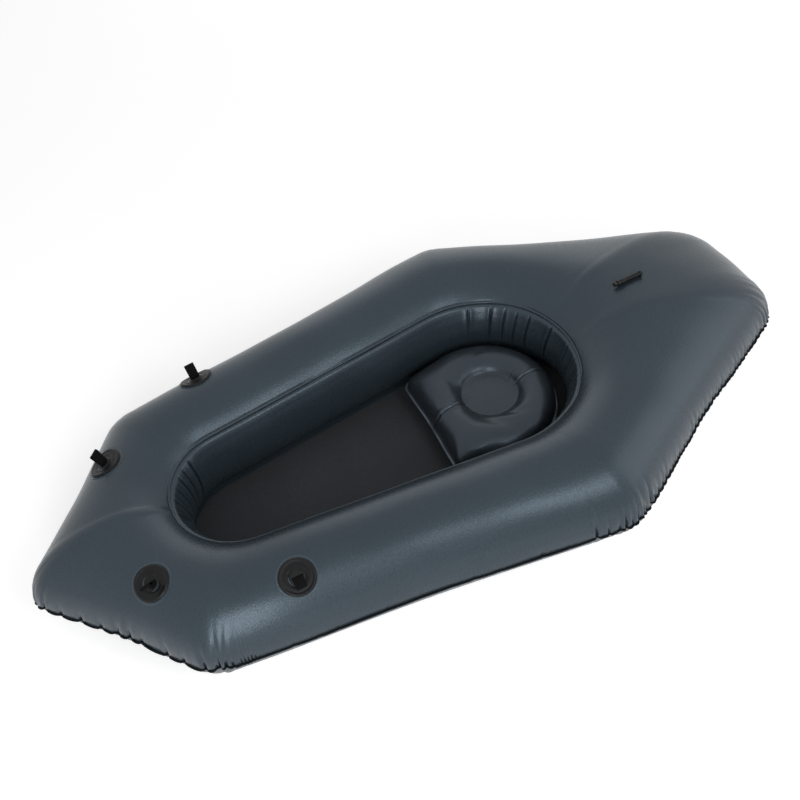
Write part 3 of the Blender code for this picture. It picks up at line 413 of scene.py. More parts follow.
def apply_modifier(thing, kind, **settings):
    """Put a modifier on a piece and apply it."""
    modifier = thing.modifiers.new("Shape", kind)
    for key, value in settings.items():
        setattr(modifier, key, value)
    activate(thing)
    bpy.ops.object.modifier_apply(modifier=modifier.name)


def thicken(thing, thickness):
    """Give a sheet its thickness, inwards from its faces."""
    apply_modifier(thing, "SOLIDIFY", thickness=thickness, offset=-1.0, use_even_offset=True)


def smooth(thing, degrees=35):
    """Smooth the shading, save at edges sharper than an angle."""
    activate(thing)
    bpy.ops.object.shade_smooth_by_angle(angle=math.radians(degrees))


def dress(thing, material, body, slot, *nodes):
    """Give a finished piece its material and its body, and hide the nodes it stands for. The slot is
    not used.
    """
    thing.data.materials.clear()
    thing.data.materials.append(material)
    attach(thing, body)
    if nodes:
        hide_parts(*nodes)


def place_piece(thing, matrix):
    """Put the piece's place in its mesh and leave its object at the origin."""
    thing.matrix_world = matrix
    activate(thing)
    bpy.ops.object.transform_apply(location=True, rotation=True, scale=True)


def turned_piece(name, profile, sides=48, bevel=0.0, matrix=None):
    """A turned piece: a circle extruded along its profile of (radius, height) pairs."""
    deselect()
    rings = [(max(radius, POLE_RADIUS), height) for radius, height in profile]
    last, level = rings[0]
    bpy.ops.mesh.primitive_circle_add(vertices=sides, radius=last, location=(0, 0, level))
    thing = bpy.context.object
    thing.name = name
    thing.data.name = name
    bpy.ops.object.transform_apply(location=True)
    bpy.ops.object.mode_set(mode="EDIT")
    bpy.ops.mesh.select_mode(type="EDGE")
    bpy.ops.mesh.select_all(action="SELECT")
    for radius, height in rings[1:]:
        bpy.ops.mesh.extrude_edges_move(TRANSFORM_OT_translate={"value": (0, 0, height - level)})
        share = radius / last
        if share != 1.0:
            bpy.ops.transform.resize(value=(share, share, 1), center_override=(0, 0, height))
        last = radius
        level = height
    bpy.ops.mesh.select_all(action="SELECT")
    bpy.ops.mesh.remove_doubles(threshold=MERGE)
    bpy.ops.mesh.select_all(action="SELECT")
    bpy.ops.mesh.fill_holes(sides=0)
    bpy.ops.mesh.select_all(action="SELECT")
    bpy.ops.mesh.normals_make_consistent(inside=False)
    bpy.ops.object.mode_set(mode="OBJECT")
    if bevel:
        apply_modifier(thing, "BEVEL", width=bevel, segments=2, limit_method="ANGLE",
                       angle_limit=math.radians(35))
    if matrix is not None:
        place_piece(thing, matrix)
    smooth(thing)
    return thing


def joint(name):
    """A joint's entry in the frame."""
    for entry in frame["joints"]:
        if entry["name"] == name:
            return entry
    raise RuntimeError("the frame has no joint " + name)


def axes_matrix(x, y, z, origin):
    """A frame from its three axes and its origin."""
    matrix = Matrix((x, y, z)).transposed().to_4x4()
    matrix.translation = origin
    return matrix


def surface(thing):
    """The piece's surface, for finding points on it."""
    return BVHTree.FromObject(thing, bpy.context.evaluated_depsgraph_get())


# Materials

# A wave texture at this scale has its bands one metre apart
WAVE_SCALE = 0.314
# Scales of the fabric's slow changes of tone and of its grain
SLOW_SCALE = 5.0
GRAIN_SCALE = 250.0
# Painted highlights: how much paler the base patches are than the hull, and the welded edge than the
# seat
PATCH_HIGHLIGHT_TONE = 1.9
EDGE_HIGHLIGHT_TONE = 2.6
# Tint of the coat's reflections, and the colour of the painted shade in weld lines, grooves and
# creases
COAT_SHEEN = (0.69, 0.85, 1.0, 1.0)
SEAM_AND_CREASE_SHADE = (0.001, 0.001, 0.0012, 1.0)


def node(tree, kind, inputs=None, **settings):
    """A shader node, with its settings, and its inputs as values or as links."""
    made = tree.nodes.new(kind)
    for key, value in settings.items():
        setattr(made, key, value)
    for key, value in (inputs or {}).items():
        if isinstance(value, bpy.types.NodeSocket):
            tree.links.new(value, made.inputs[key])
        else:
            made.inputs[key].default_value = value
    return made


def socket_name(key):
    """Name of a shader's input, from the same words in lower case with underscores."""
    return key.replace("_", " ").title().replace("Ior", "IOR")


def shader_of(name, **sockets):
    """The nodes and the shader of a new material, with some of the shader's inputs set."""
    material = bpy.data.materials.new(name)
    material.use_nodes = True
    shader = material.node_tree.nodes["Principled BSDF"]
    for key, value in sockets.items():
        shader.inputs[socket_name(key)].default_value = value
    return material.node_tree, shader


def tint(rgb, factor):
    """A lighter or darker tone of a colour."""
    return tuple(min(c * factor, 1.0) for c in rgb) + (1.0,)


def noise(tree, scale, detail, roughness=0.5):
    """A noise that is fixed to the piece."""
    place = node(tree, "ShaderNodeTexCoord")
    made = node(tree, "ShaderNodeTexNoise", {"Vector": place.outputs["Object"], "Scale": scale,
                                             "Detail": detail, "Roughness": roughness})
    return made.outputs["Fac"]


def threads(tree, pitch, way, distortion, detail=2.0):
    """Threads at a pitch along one way of the piece's UV map."""
    place = node(tree, "ShaderNodeTexCoord")
    made = node(tree, "ShaderNodeTexWave", {"Vector": place.outputs["UV"],
                                            "Scale": WAVE_SCALE / pitch,
                                            "Distortion": distortion, "Detail": detail},
                wave_type="BANDS", bands_direction=way)
    return made.outputs["Fac"]


def both(tree, first, second, operation):
    """Two values joined by a sum, a product or the like."""
    made = node(tree, "ShaderNodeMath", {0: first, 1: second}, operation=operation)
    return made.outputs["Value"]


def two_tones(tree, source, low, high, first=0.0, last=1.0):
    """A colour that goes from one tone to another."""
    made = node(tree, "ShaderNodeValToRGB", {"Fac": source})
    for element, place, tone in zip(made.color_ramp.elements, (first, last), (low, high)):
        element.position = place
        element.color = tone
    return made.outputs["Color"]


def spread(tree, source, low, high, first=0.3, last=0.7):
    """A value between low and high that follows the source."""
    made = node(tree, "ShaderNodeMapRange", {"Value": source, "From Min": first,
                                             "From Max": last, "To Min": low, "To Max": high})
    return made.outputs["Result"]


def relief(tree, height, strength, distance, **under):
    """A bump from a height, over another bump if one is given."""
    made = node(tree, "ShaderNodeBump", {"Height": height, "Strength": strength,
                                         "Distance": distance, **under})
    return made.outputs["Normal"]


def background_rays(tree):
    """1 for the rays that see the background: straight, mirrored or through glass."""
    rays = node(tree, "ShaderNodeLightPath")
    seen = rays.outputs["Is Camera Ray"]
    for kind in ("Is Glossy Ray", "Is Transmission Ray"):
        seen = both(tree, seen, rays.outputs[kind], "MAXIMUM")
    return seen


def link(tree, shader, **outputs):
    """Join outputs to some of the shader's inputs."""
    for key, value in outputs.items():
        tree.links.new(value, shader.inputs[socket_name(key)])


def coated_fabric(name, rgb, roughness, weave=0.05, grain=0.11, gloss=0.5, pitch=0.0009):
    """Coated nylon: a fine weave under a satin coat, a grain, slow changes of tone and painted
    shade.
    """
    tree, shader = shader_of(name, specular_ior_level=gloss, specular_tint=COAT_SHEEN)
    slow = noise(tree, SLOW_SCALE, 3.0)
    fine = noise(tree, GRAIN_SCALE, 2.0, 0.6)
    tone = two_tones(tree, slow, tint(rgb, 0.90), tint(rgb, 1.08), 0.30, 0.72)
    dark = (1 - grain, 1 - grain, 1 - grain, 1)
    pale = (1 + grain, 1 + grain, 1 + grain, 1)
    speck = two_tones(tree, fine, dark, pale, 0.35, 0.70)
    mixed = node(tree, "ShaderNodeMix", {"Factor": 1.0, "A": tone, "B": speck},
                 data_type="RGBA", blend_type="MULTIPLY")
    # Painted shade: the seam attribute darkens the colour in weld lines, grooves and creases
    seam = node(tree, "ShaderNodeAttribute", attribute_name="seam")
    fade = node(tree, "ShaderNodeMix", {"Factor": seam.outputs["Fac"],
                                        "A": mixed.outputs["Result"], "B": SEAM_AND_CREASE_SHADE},
                data_type="RGBA")
    cloth = both(tree, threads(tree, pitch, "X", 0.3, 1.0), threads(tree, pitch, "Y", 0.3, 1.0),
                 "MULTIPLY")
    woven = relief(tree, cloth, weave, 0.0002)
    link(tree, shader, base_color=fade.outputs["Result"],
         roughness=spread(tree, fine, roughness - 0.03, roughness + 0.05),
         normal=relief(tree, fine, 0.52, 0.0007, Normal=woven))


def moulded(name, rgb, roughness, gloss=0.25):
    """Moulded plastic: a fine spark-eroded grain and slightly uneven gloss."""
    tree, shader = shader_of(name, specular_ior_level=gloss)
    patchy = noise(tree, 60.0, 3.0)
    link(tree, shader, base_color=two_tones(tree, patchy, tint(rgb, 0.80), tint(rgb, 1.25)),
         roughness=spread(tree, patchy, roughness - 0.06, roughness + 0.08),
         normal=relief(tree, noise(tree, 1400.0, 2.0), 0.3, 0.00015))


def woven_webbing(name, rgb):
    """Flat webbing: ribs across it and a thread pattern along them, on its own UV map."""
    tree, shader = shader_of(name, roughness=0.82, specular_ior_level=0.12)
    ribs = threads(tree, 0.0013, "Y", 0.0)
    cords = threads(tree, 0.0021, "X", 0.4)
    link(tree, shader, base_color=two_tones(tree, cords, tint(rgb, 0.7), tint(rgb, 1.9)),
         normal=relief(tree, both(tree, ribs, cords, "ADD"), 0.8, 0.0004))


def drawn_steel(name, rgb):
    """Drawn spring wire, with uneven gloss."""
    tree, shader = shader_of(name, metallic=1.0)
    streaks = noise(tree, 900.0, 2.0)
    link(tree, shader, base_color=two_tones(tree, streaks, tint(rgb, 0.85), tint(rgb, 1.1)),
         roughness=spread(tree, streaks, 0.22, 0.40, 0.0, 1.0))


def finishes():
    """The raft's materials by use, made on the first call."""
    names = {"hull": "hull_fabric_dressed", "patch": "patch_fabric",
             "bottom": "underside_fabric", "floor": "floor_fabric_dressed",
             "seat": "seat_fabric_dressed", "edge": "seat_edge_fabric", "tape": "seam_tape",
             "rubber": "soft_plastic", "plastic": "hard_plastic", "webbing": "webbing",
             "steel": "spring_wire"}
    if names["hull"] not in bpy.data.materials:
        scene = bpy.context.scene
        hull = scene.raft_hull
        seat = scene.raft_seat.fabric
        parts = scene.raft_fittings
        coated_fabric(names["hull"], hull.hull, 0.29, gloss=0.53)
        # Painted highlight: the base patches are a paler copy of the hull fabric, for the light on
        # their rims
        coated_fabric(names["patch"], [PATCH_HIGHLIGHT_TONE * part for part in hull.hull], 0.29, gloss=0.45)
        coated_fabric(names["bottom"], hull.bottom, 0.50)
        coated_fabric(names["floor"], hull.floor, 0.66, weave=0.25, grain=0.16, gloss=0.3,
                      pitch=0.0016)
        coated_fabric(names["seat"], seat, 0.32, grain=0.06, gloss=0.53)
        # Painted highlight: the seat's welded edge is a paler, glossier copy of the seat fabric
        coated_fabric(names["edge"], [EDGE_HIGHLIGHT_TONE * part for part in seat], 0.30, gloss=0.8)
        coated_fabric(names["tape"], hull.tape_colour, 0.55, weave=0.15, gloss=0.2)
        moulded(names["rubber"], parts.rubber, 0.40, gloss=0.20)
        moulded(names["plastic"], parts.plastic, 0.30)
        woven_webbing(names["webbing"], parts.webbing_colour)
        drawn_steel(names["steel"], parts.steel)
    return {use: bpy.data.materials[name] for use, name in names.items()}


# Plan of the hull

def outline_points(circles, spacing):
    """A belt round circles, anticlockwise and densely drawn, with the puckers of each place."""
    normals = []
    count = len(circles)
    for k, here in enumerate(circles):
        there = circles[(k + 1) % count]
        along = Vector((there[0] - here[0], there[1] - here[1]))
        share = (here[2] - there[2]) / along.length
        along.normalize()
        right = Vector((along.y, -along.x))
        normals.append(along * share + right * math.sqrt(1 - share * share))
    points = []
    pitches = []
    pinches = []
    corner = []
    for k, (x, y, radius, sag, pitch, pinch) in enumerate(circles):
        start = math.atan2(normals[k - 1].y, normals[k - 1].x)
        turn = (math.atan2(normals[k].y, normals[k].x) - start) % math.tau
        steps = max(6, int(radius * turn / spacing))
        for step in range(steps):
            angle = start + turn * step / steps
            points.append((x + radius * math.cos(angle), y + radius * math.sin(angle)))
            pitches.append(CORNER_PITCH)
            pinches.append(pinch)
            corner.append(min(TIGHT_CORNER / radius, SHARPEST))
        there = circles[(k + 1) % count]
        first = Vector((x, y)) + normals[k] * radius
        last = Vector((there[0], there[1])) + normals[k] * there[2]
        steps = max(6, int((last - first).length / spacing))
        for step in range(steps):
            share = step / steps
            dip = sag * math.sin(math.pi * share) ** 2
            points.append(tuple(first.lerp(last, share) - normals[k] * dip))
            pitches.append(pitch)
            pinches.append(pinch)
            corner.append(0.0)
    return np.array(points), np.array(pitches), np.array(pinches), np.array(corner)


def lengths_round(path):
    """Steps of a closed path, and the length to each of its points and back to the first."""
    steps = np.linalg.norm(np.roll(path, -1, 0) - path, axis=1)
    return steps, np.concatenate([[0], np.cumsum(steps)])


def right_of(path):
    """Directions that point to the right of a closed path, in its own plane."""
    ahead = np.roll(path, -1, 0) - np.roll(path, 1, 0)
    ahead /= np.linalg.norm(ahead, axis=1)[:, None]
    return np.stack([ahead[:, 1], -ahead[:, 0]], 1)


def with_height(flat, height):
    """Points of the plan at one height, or each at its own."""
    return np.column_stack([flat, np.broadcast_to(height, len(flat))])


def drawn(draw, span, power=1):
    """A drawn value, from the least that it may be and how much the draw adds."""
    least, more = span
    return least + more * draw.random() ** power


def bell(distance, width):
    """1 at a place, falling to 0 on both sides of it."""
    return np.exp(-(distance / width) ** 2)


def ridge(distance, height, place, width):
    """A soft ridge of a height, at a place."""
    return height * bell(distance - place, width)


def before(distance, width):
    """1 short of a place and 0 past it, with a soft change between."""
    return 1 / (1 + np.exp(distance / width))


def around(values, reach):
    """Slide a bell-shaped average round a closed row of values."""
    steps = np.arange(-3 * reach, 3 * reach + 1)
    weights = np.exp(-0.5 * (steps / reach) ** 2)
    weights /= weights.sum()
    out = np.zeros_like(values)
    for step, weight in zip(steps, weights):
        out += weight * np.roll(values, step, axis=0)
    return out


def nearest_on_cockpit(point):
    """The nearest point of the cockpit's narrowest outline."""
    bow = Vector((COCKPIT_BOW[0], 0))
    stern = Vector((COCKPIT_STERN[0], 0))
    lean = (COCKPIT_STERN[1] - COCKPIT_BOW[1]) / (bow.x - stern.x)
    side = 1 if point.y >= 0 else -1
    normal = Vector((lean, side * math.sqrt(1 - lean * lean)))
    first = stern + normal * COCKPIT_STERN[1]
    last = bow + normal * COCKPIT_BOW[1]
    run = last - first
    share = (point - first).dot(run) / run.length_squared
    if share < 0:
        return stern + (point - stern).normalized() * COCKPIT_STERN[1]
    if share > 1:
        return bow + (point - bow).normalized() * COCKPIT_BOW[1]
    return first + run * share


class Hull:
    """Sections of the air tube, and the puckers of its outer seam."""

    def __init__(self, settings):
        dense, pitches, pinches, corner = outline_points(PLAN, PLAN_STEP)
        corner = around(corner, BLEND_STEPS)
        pitches = around(pitches, BLEND_STEPS)
        steps, arc = lengths_round(dense)
        self.total = float(arc[-1])
        weight = EDGE_SECTIONS + CORNER_SECTIONS * np.clip(corner, 0, 1)
        weight += CLOSE_SECTIONS * (pitches < CLOSE_PITCH)
        for crease in SHOULDER_CREASES:
            apart = np.linalg.norm(dense - np.array(crease[:2]), axis=1)
            weight = np.maximum(weight, CREASE_SECTIONS * bell(apart, CREASE_REACH))
        cost = np.concatenate([[0], np.cumsum(steps * weight)])
        marks = np.linspace(0, cost[-1], settings.columns, endpoint=False)
        self.along = np.interp(marks, cost, arc)

        def at(values):
            closed = np.concatenate([values, values[:1]])
            return np.interp(self.along, arc, closed)

        self.edge = np.stack([at(dense[:, 0]), at(dense[:, 1])], 1)
        self.outward = right_of(self.edge)
        self.corner = np.clip(at(corner), 0, SHARPEST)
        self.pitch = at(pitches)
        self.pinch = at(around(pinches, BLEND_STEPS))
        self.outer = self.edge - self.outward * settings.tape
        inner = [nearest_on_cockpit(Vector(p)) for p in self.outer]
        self.inner = np.array([tuple(p) for p in inner])
        across = self.outer - self.inner
        self.width = np.linalg.norm(across, axis=1)
        self.across = across / self.width[:, None]
        extra = np.clip(self.width / 2 - HALF_HEIGHT, 0, HALF_HEIGHT)
        rise = HALF_HEIGHT + END_SWELL * extra
        self.rise = around(rise, max(2, settings.columns // 90))
        self.draw_puckers(settings)

    def draw_puckers(self, settings):
        """Choose the puckers, and wave the seam where they pinch it."""
        draw = np.random.default_rng(settings.seed)
        self.puckers = []
        at = FIRST_PUCKER
        while at < self.total - 2 * FIRST_PUCKER:
            k = int(np.searchsorted(self.along, at)) % len(self.along)
            corner = min(self.corner[k], 1.0)
            depth = self.pinch[k] * (1 - corner) + settings.corner_pucker * corner
            depth *= drawn(draw, PUCKER_DEPTH)
            reach = drawn(draw, PUCKER_LENGTH)
            reach += corner * drawn(draw, CORNER_LENGTH, 2)
            wide = drawn(draw, PUCKER_WIDTH)
            gap = self.pitch[k] * drawn(draw, PUCKER_PITCH)
            self.puckers.append((at, depth, reach, wide, draw.normal() * PUCKER_SLANT, gap))
            at += gap
        for x, y, depth, reach, wide in SHOULDER_CREASES:
            nearest = int(np.argmin(np.linalg.norm(self.edge - np.array([x, y]), axis=1)))
            self.puckers.append((self.along[nearest], depth, reach, wide, 0.0, CREASE_PITCH))
        notch = np.zeros_like(self.along)
        lift = np.zeros_like(self.along)
        for at, depth, reach, wide, slant, pitch in self.puckers:
            gap = self.off(at)
            notch -= depth * SEAM_PINCH * bell(gap, wide * 1.1)
            near = np.clip(1 - np.abs(gap) / (pitch * 0.6), 0, 1)
            notch -= depth * SEAM_DIP * near ** 1.6
            lift += depth * SEAM_LIFT * np.sign(slant) * bell(gap, wide * 2.6)
        wave = around(draw.normal(size=len(self.along)), 9)
        wave *= SEAM_WAVE / wave.std()
        self.notch = notch + NOTCH_REST + 0.6 * wave
        self.lift = lift + np.roll(wave, 40) * (1 + self.corner)

    def off(self, at):
        """Distance along the seam from a place on it, the short way round."""
        return (self.along - at + self.total / 2) % self.total - self.total / 2

    def section(self, angle, inset=0.0):
        """Points of the tube's skin: angle 0 at the outer seam, pi/2 on top, pi at the cockpit."""
        angle = np.broadcast_to(angle, self.width.shape)
        cos = np.cos(angle)
        sin = np.sin(angle)
        half_in = (self.width / 2 + HALF_HEIGHT) / 2
        half_out = self.width - half_in
        reach = np.where(cos > 0, half_out, half_in)
        rise = np.where(sin > 0, self.rise, HALF_HEIGHT)
        power = np.where((cos > 0) & (sin < 0), 2 / BILGE_FULLNESS, 1.0)
        side = np.sign(cos) * np.abs(cos) ** power
        drop = np.sign(sin) * np.abs(sin) ** power
        away = (half_in + (reach - inset) * side)[:, None]
        flat = self.inner + self.across * away
        return with_height(flat, np.maximum(SEAM_HEIGHT + (rise - inset) * drop, 0.0))

    def rim_angle(self, above=0.0):
        """Angle of the cockpit's rim, or of a line a short way over the tube from it."""
        return math.pi - np.arcsin(RIM_HEIGHT / self.rise) - above / self.rise


def foot_angle(level):
    """Angle at which the tube's inner or lower side is at a level."""
    return math.pi + math.asin((SEAM_HEIGHT - level) / HALF_HEIGHT)


def row_distance(points):
    """Length down each column of a grid of points, from its first row."""
    steps = np.linalg.norm(np.diff(points, axis=0), axis=2)
    return np.concatenate([np.zeros((1, points.shape[1])), np.cumsum(steps, 0)])


def grid_normals(points):
    """Normals of a grid of points that closes round its columns."""
    around_way = np.roll(points, -1, 1) - np.roll(points, 1, 1)
    down_way = np.gradient(points, axis=0)
    normal = np.cross(around_way, down_way)
    size = np.linalg.norm(normal, axis=2)[..., None]
    return normal / np.maximum(size, 1e-12)


def fold_profile(x):
    """A sharp valley between two soft ridges."""
    return 0.55 * bell(x, 2.6) - np.exp(-np.abs(x) ** 1.6)


def soft_waves(points, size, height):
    """Slow, shallow unevenness of a blown-up sheet, from crossed waves."""
    x, y, z = (points[..., k] / size for k in range(3))
    wave = np.sin(2.1 * x + 1.3 * y + 0.7) * np.cos(1.7 * y - 0.9 * z + 0.3)
    wave += 0.6 * np.sin(3.7 * x - 2.9 * y + 1.1 * z + 2.0)
    wave += 0.4 * np.cos(5.3 * y + 4.1 * x + 0.4)
    return wave * height / 1.3


def pucker_rows(hull, points, from_seam, share=1.0):
    """Push the puckers of the outer seam into a grid whose rows start there."""
    offset = np.zeros(points.shape[:2])
    for at, depth, reach, wide, slant, pitch in hull.puckers:
        gap = hull.off(at)[None, :] - slant * from_seam
        breadth = wide * (0.8 + from_seam / (reach * 1.3))
        fade = np.exp(-(from_seam / reach) ** 1.6) * np.clip(from_seam / PUCKER_START, 0.25, 1)
        offset += share * depth * fade * fold_profile(gap / breadth)
    near = np.exp(-(from_seam / SEAM_REACH) ** 1.5)
    moved = points + grid_normals(points) * offset[..., None]
    moved[..., 0] += near * hull.notch[None, :] * hull.outward[None, :, 0]
    moved[..., 1] += near * hull.notch[None, :] * hull.outward[None, :, 1]
    moved[..., 2] += near * hull.lift[None, :]
    return moved


def sheet_object(name, points, along, down, flip=False):
    """A sheet from a grid of points, with its UV in metres."""
    rows, columns = points.shape[:2]
    faces = grid_faces(rows, columns)
    if flip:
        faces = [face[::-1] for face in faces]
    thing = new_object(name, points.reshape(-1, 3), faces)
    set_uv(thing, np.broadcast_to(along, (rows, columns)).ravel(), down.ravel())
    return thing


def closed_band(name, points, along, girth):
    """A closed band whose section closes too, with its UV in metres along it and round it."""
    rows, columns = points.shape[:2]
    thing = new_object(name, points.reshape(-1, 3), grid_faces(rows, columns, closed=True))
    set_uv(thing, np.broadcast_to(along, (rows, columns)).ravel(),
           np.repeat(np.linspace(0, girth, rows), columns))
    face_outwards(thing)
    return thing


def paint_seam_and_crease_shade(thing, strength):
    """Painted shade of weld lines, grooves and creases: how far the sheet is darkened, from 0 to 1,
    as an attribute of its points.
    """
    layer = thing.data.attributes.new("seam", "FLOAT", "POINT")
    layer.data.foreach_set("value", strength.astype(np.float32).ravel())


HULL = {}


def hull_of(context):
    """The tube's sections, worked out once, and the settings of the hull."""
    settings = context.scene.raft_hull
    if "sections" not in HULL:
        HULL["sections"] = Hull(settings)
    return HULL["sections"], settings


class RAFT_OT_deck(bpy.types.Operator):
    """Top sheet from the outer seam over the tube to the cockpit's rim"""
    bl_idname = "raft.deck"
    bl_label = "Deck sheet"

    def execute(self, context):
        hull, settings = hull_of(context)
        lift = GAP / 2 + settings.sheet
        shares = np.linspace(0, 1, 31)[1:-1] ** 1.45
        end = hull.rim_angle(RIM_ROWS[0])
        rows = [hull.section(0.0)]
        rows += [hull.section(end * share) for share in shares]
        rows += [hull.section(hull.rim_angle(above)) for above in RIM_ROWS]
        points = np.array(rows)
        points[0, :, 2] += lift
        down = row_distance(points)
        points = points + grid_normals(points) * soft_waves(points, *DECK_WAVES)[..., None]
        points = pucker_rows(hull, points, down)
        to_rim = down[-1:] - down
        bead = ridge(to_rim, *RIM_BEAD) - ridge(to_rim, *RIM_GROOVE)
        points += grid_normals(points) * bead[..., None]
        sheet = sheet_object("deck_sheet", points, hull.along, down)
        # The rim's weld line: partly the weld's own dark joint, partly painted shade in the groove
        paint_seam_and_crease_shade(sheet, bell(to_rim - RIM_WELD, RIM_LINE_SHADE))
        thicken(sheet, settings.sheet)
        smooth(sheet, 50)
        dress(sheet, finishes()["hull"], "hull", "hull_fabric", "deck_panel")
        return {"FINISHED"}


class RAFT_OT_wall(bpy.types.Operator):
    """Inner sheet from under the rim down to the floor, with the folds of its two ends and painted
    shade in their valleys
    """
    bl_idname = "raft.wall"
    bl_label = "Cockpit wall"

    def execute(self, context):
        hull, settings = hull_of(context)
        inset = settings.sheet + GAP
        level = FLOOR_TOP + GAP + settings.sheet
        foot = foot_angle(level)
        rows = [hull.section(hull.rim_angle(above), inset) for above in WALL_ROWS]
        start = hull.rim_angle(WALL_ROWS[-1])
        for share in np.linspace(0, 1, 18)[1:]:
            rows.append(hull.section(start + (foot - start) * share, inset))
        points = np.array(rows)
        points[-1, :, 2] = level
        laps = []
        for share in (0.25, 0.6, 1.0):
            strip = points[-1].copy()
            strip[:, :2] -= hull.across * FLOOR_LAP * share
            laps.append(strip)
        down = row_distance(points)
        rim_row = WALL_ROWS.index(0.0)
        below_rim = down - down[rim_row]
        points = points + grid_normals(points) * soft_waves(points, *WALL_WAVES)[..., None]
        offset = ridge(below_rim, *WALL_SWELL) - ridge(below_rim, *WALL_GROOVE)
        shade = np.zeros_like(below_rim)
        arc = lengths_round(hull.inner)[1]
        for x, y, top, low, depth, wide in WALL_FOLDS:
            nearest = int(np.argmin(np.linalg.norm(hull.inner - np.array([x, y]), axis=1)))
            gap = (arc[:-1] - arc[nearest] + arc[-1] / 2) % arc[-1] - arc[-1] / 2
            height = points[..., 2]
            lean = FOLD_LEAN * (height - top) * (1 if y > 0 else -1)
            fade = before(height - top + 0.010, 0.0035) * before(low - height, 0.010)
            offset += FOLD_DEPTH * depth * fade * fold_profile((gap[None, :] - lean) / (1.15 * wide))
            # Painted shade along the valley of each fold
            shade += 0.8 * fade * bell(gap[None, :] - lean, 0.75 * wide)
        points = points + grid_normals(points) * offset[..., None]
        points[-1, :, 2] = level
        points = np.concatenate([points, np.array(laps)])
        shade = np.concatenate([shade, np.zeros((len(laps), shade.shape[1]))])
        down = row_distance(points)
        sheet = sheet_object("cockpit_wall", points, hull.along, down)
        paint_seam_and_crease_shade(sheet, np.clip(shade, 0, 0.9))
        thicken(sheet, settings.sheet)
        smooth(sheet, 50)
        dress(sheet, finishes()["hull"], "hull", "hull_fabric", "cockpit_wall_panel")
        return {"FINISHED"}


class RAFT_OT_bottom(bpy.types.Operator):
    """Lower sheet from the floor under the tube to the outer seam, flat where it rests"""
    bl_idname = "raft.bottom"
    bl_label = "Bottom sheet"

    def execute(self, context):
        hull, settings = hull_of(context)
        lift = GAP / 2 + settings.sheet
        level = FLOOR_TOP - 2 * settings.sheet - GAP
        foot = foot_angle(level)
        ground = foot_angle(0.0)
        bilge = math.asin((SEAM_HEIGHT / HALF_HEIGHT) ** (BILGE_FULLNESS / 2))
        rows = [hull.section(0.0)]
        for share in np.linspace(0, 1, 15)[1:] ** 1.3:
            rows.append(hull.section(math.tau - bilge * share))
        for share in (0.34, 0.67, 1.0):
            turn = (math.tau - bilge) + (ground - (math.tau - bilge)) * share
            rows.append(hull.section(turn))
        for share in (0.2, 0.4, 0.6, 0.8, 1.0):
            rows.append(hull.section(ground + (foot - ground) * share))
        points = np.array(rows)
        points[0, :, 2] -= lift
        points[-1, :, 2] = level
        down = row_distance(points)
        points = pucker_rows(hull, points, down, -1.0)
        lap = points[-1].copy()
        lap[:, :2] -= hull.across * FLOOR_LAP
        points = np.concatenate([points, lap[None]])
        points[..., 2] = np.maximum(points[..., 2], 0.0)
        down = row_distance(points)
        sheet = sheet_object("bottom_sheet", points, hull.along, down, flip=True)
        thicken(sheet, settings.sheet)
        smooth(sheet, 50)
        dress(sheet, finishes()["bottom"], "hull", "hull_fabric", "bottom_panel")
        return {"FINISHED"}


class RAFT_OT_seam_tape(bpy.types.Operator):
    """Black tape folded over the outer seam, waved by the puckers"""
    bl_idname = "raft.seam_tape"
    bl_label = "Seam tape"

    def execute(self, context):
        hull, settings = hull_of(context)
        half = GAP / 2 + settings.sheet + 0.0008
        wide = settings.tape
        section = ((-wide - 0.0006, 0.0006), (-wide - 0.0002, half - 0.0003), (-wide * 0.6, half),
                   (-0.0012, half), (-0.0003, half * 0.6), (0.0, 0.0))
        outline = section + tuple((reach, -height) for reach, height in reversed(section[:-1]))
        rows = []
        for reach, height in outline:
            flat = hull.edge + hull.outward * (reach + hull.notch)[:, None]
            rows.append(with_height(flat, SEAM_HEIGHT + height + hull.lift))
        tape = closed_band("seam_tape", np.array(rows), hull.along, 4 * wide)
        smooth(tape, 40)
        dress(tape, finishes()["tape"], "hull", "binding_tape", "outer_seam_binding")
        return {"FINISHED"}


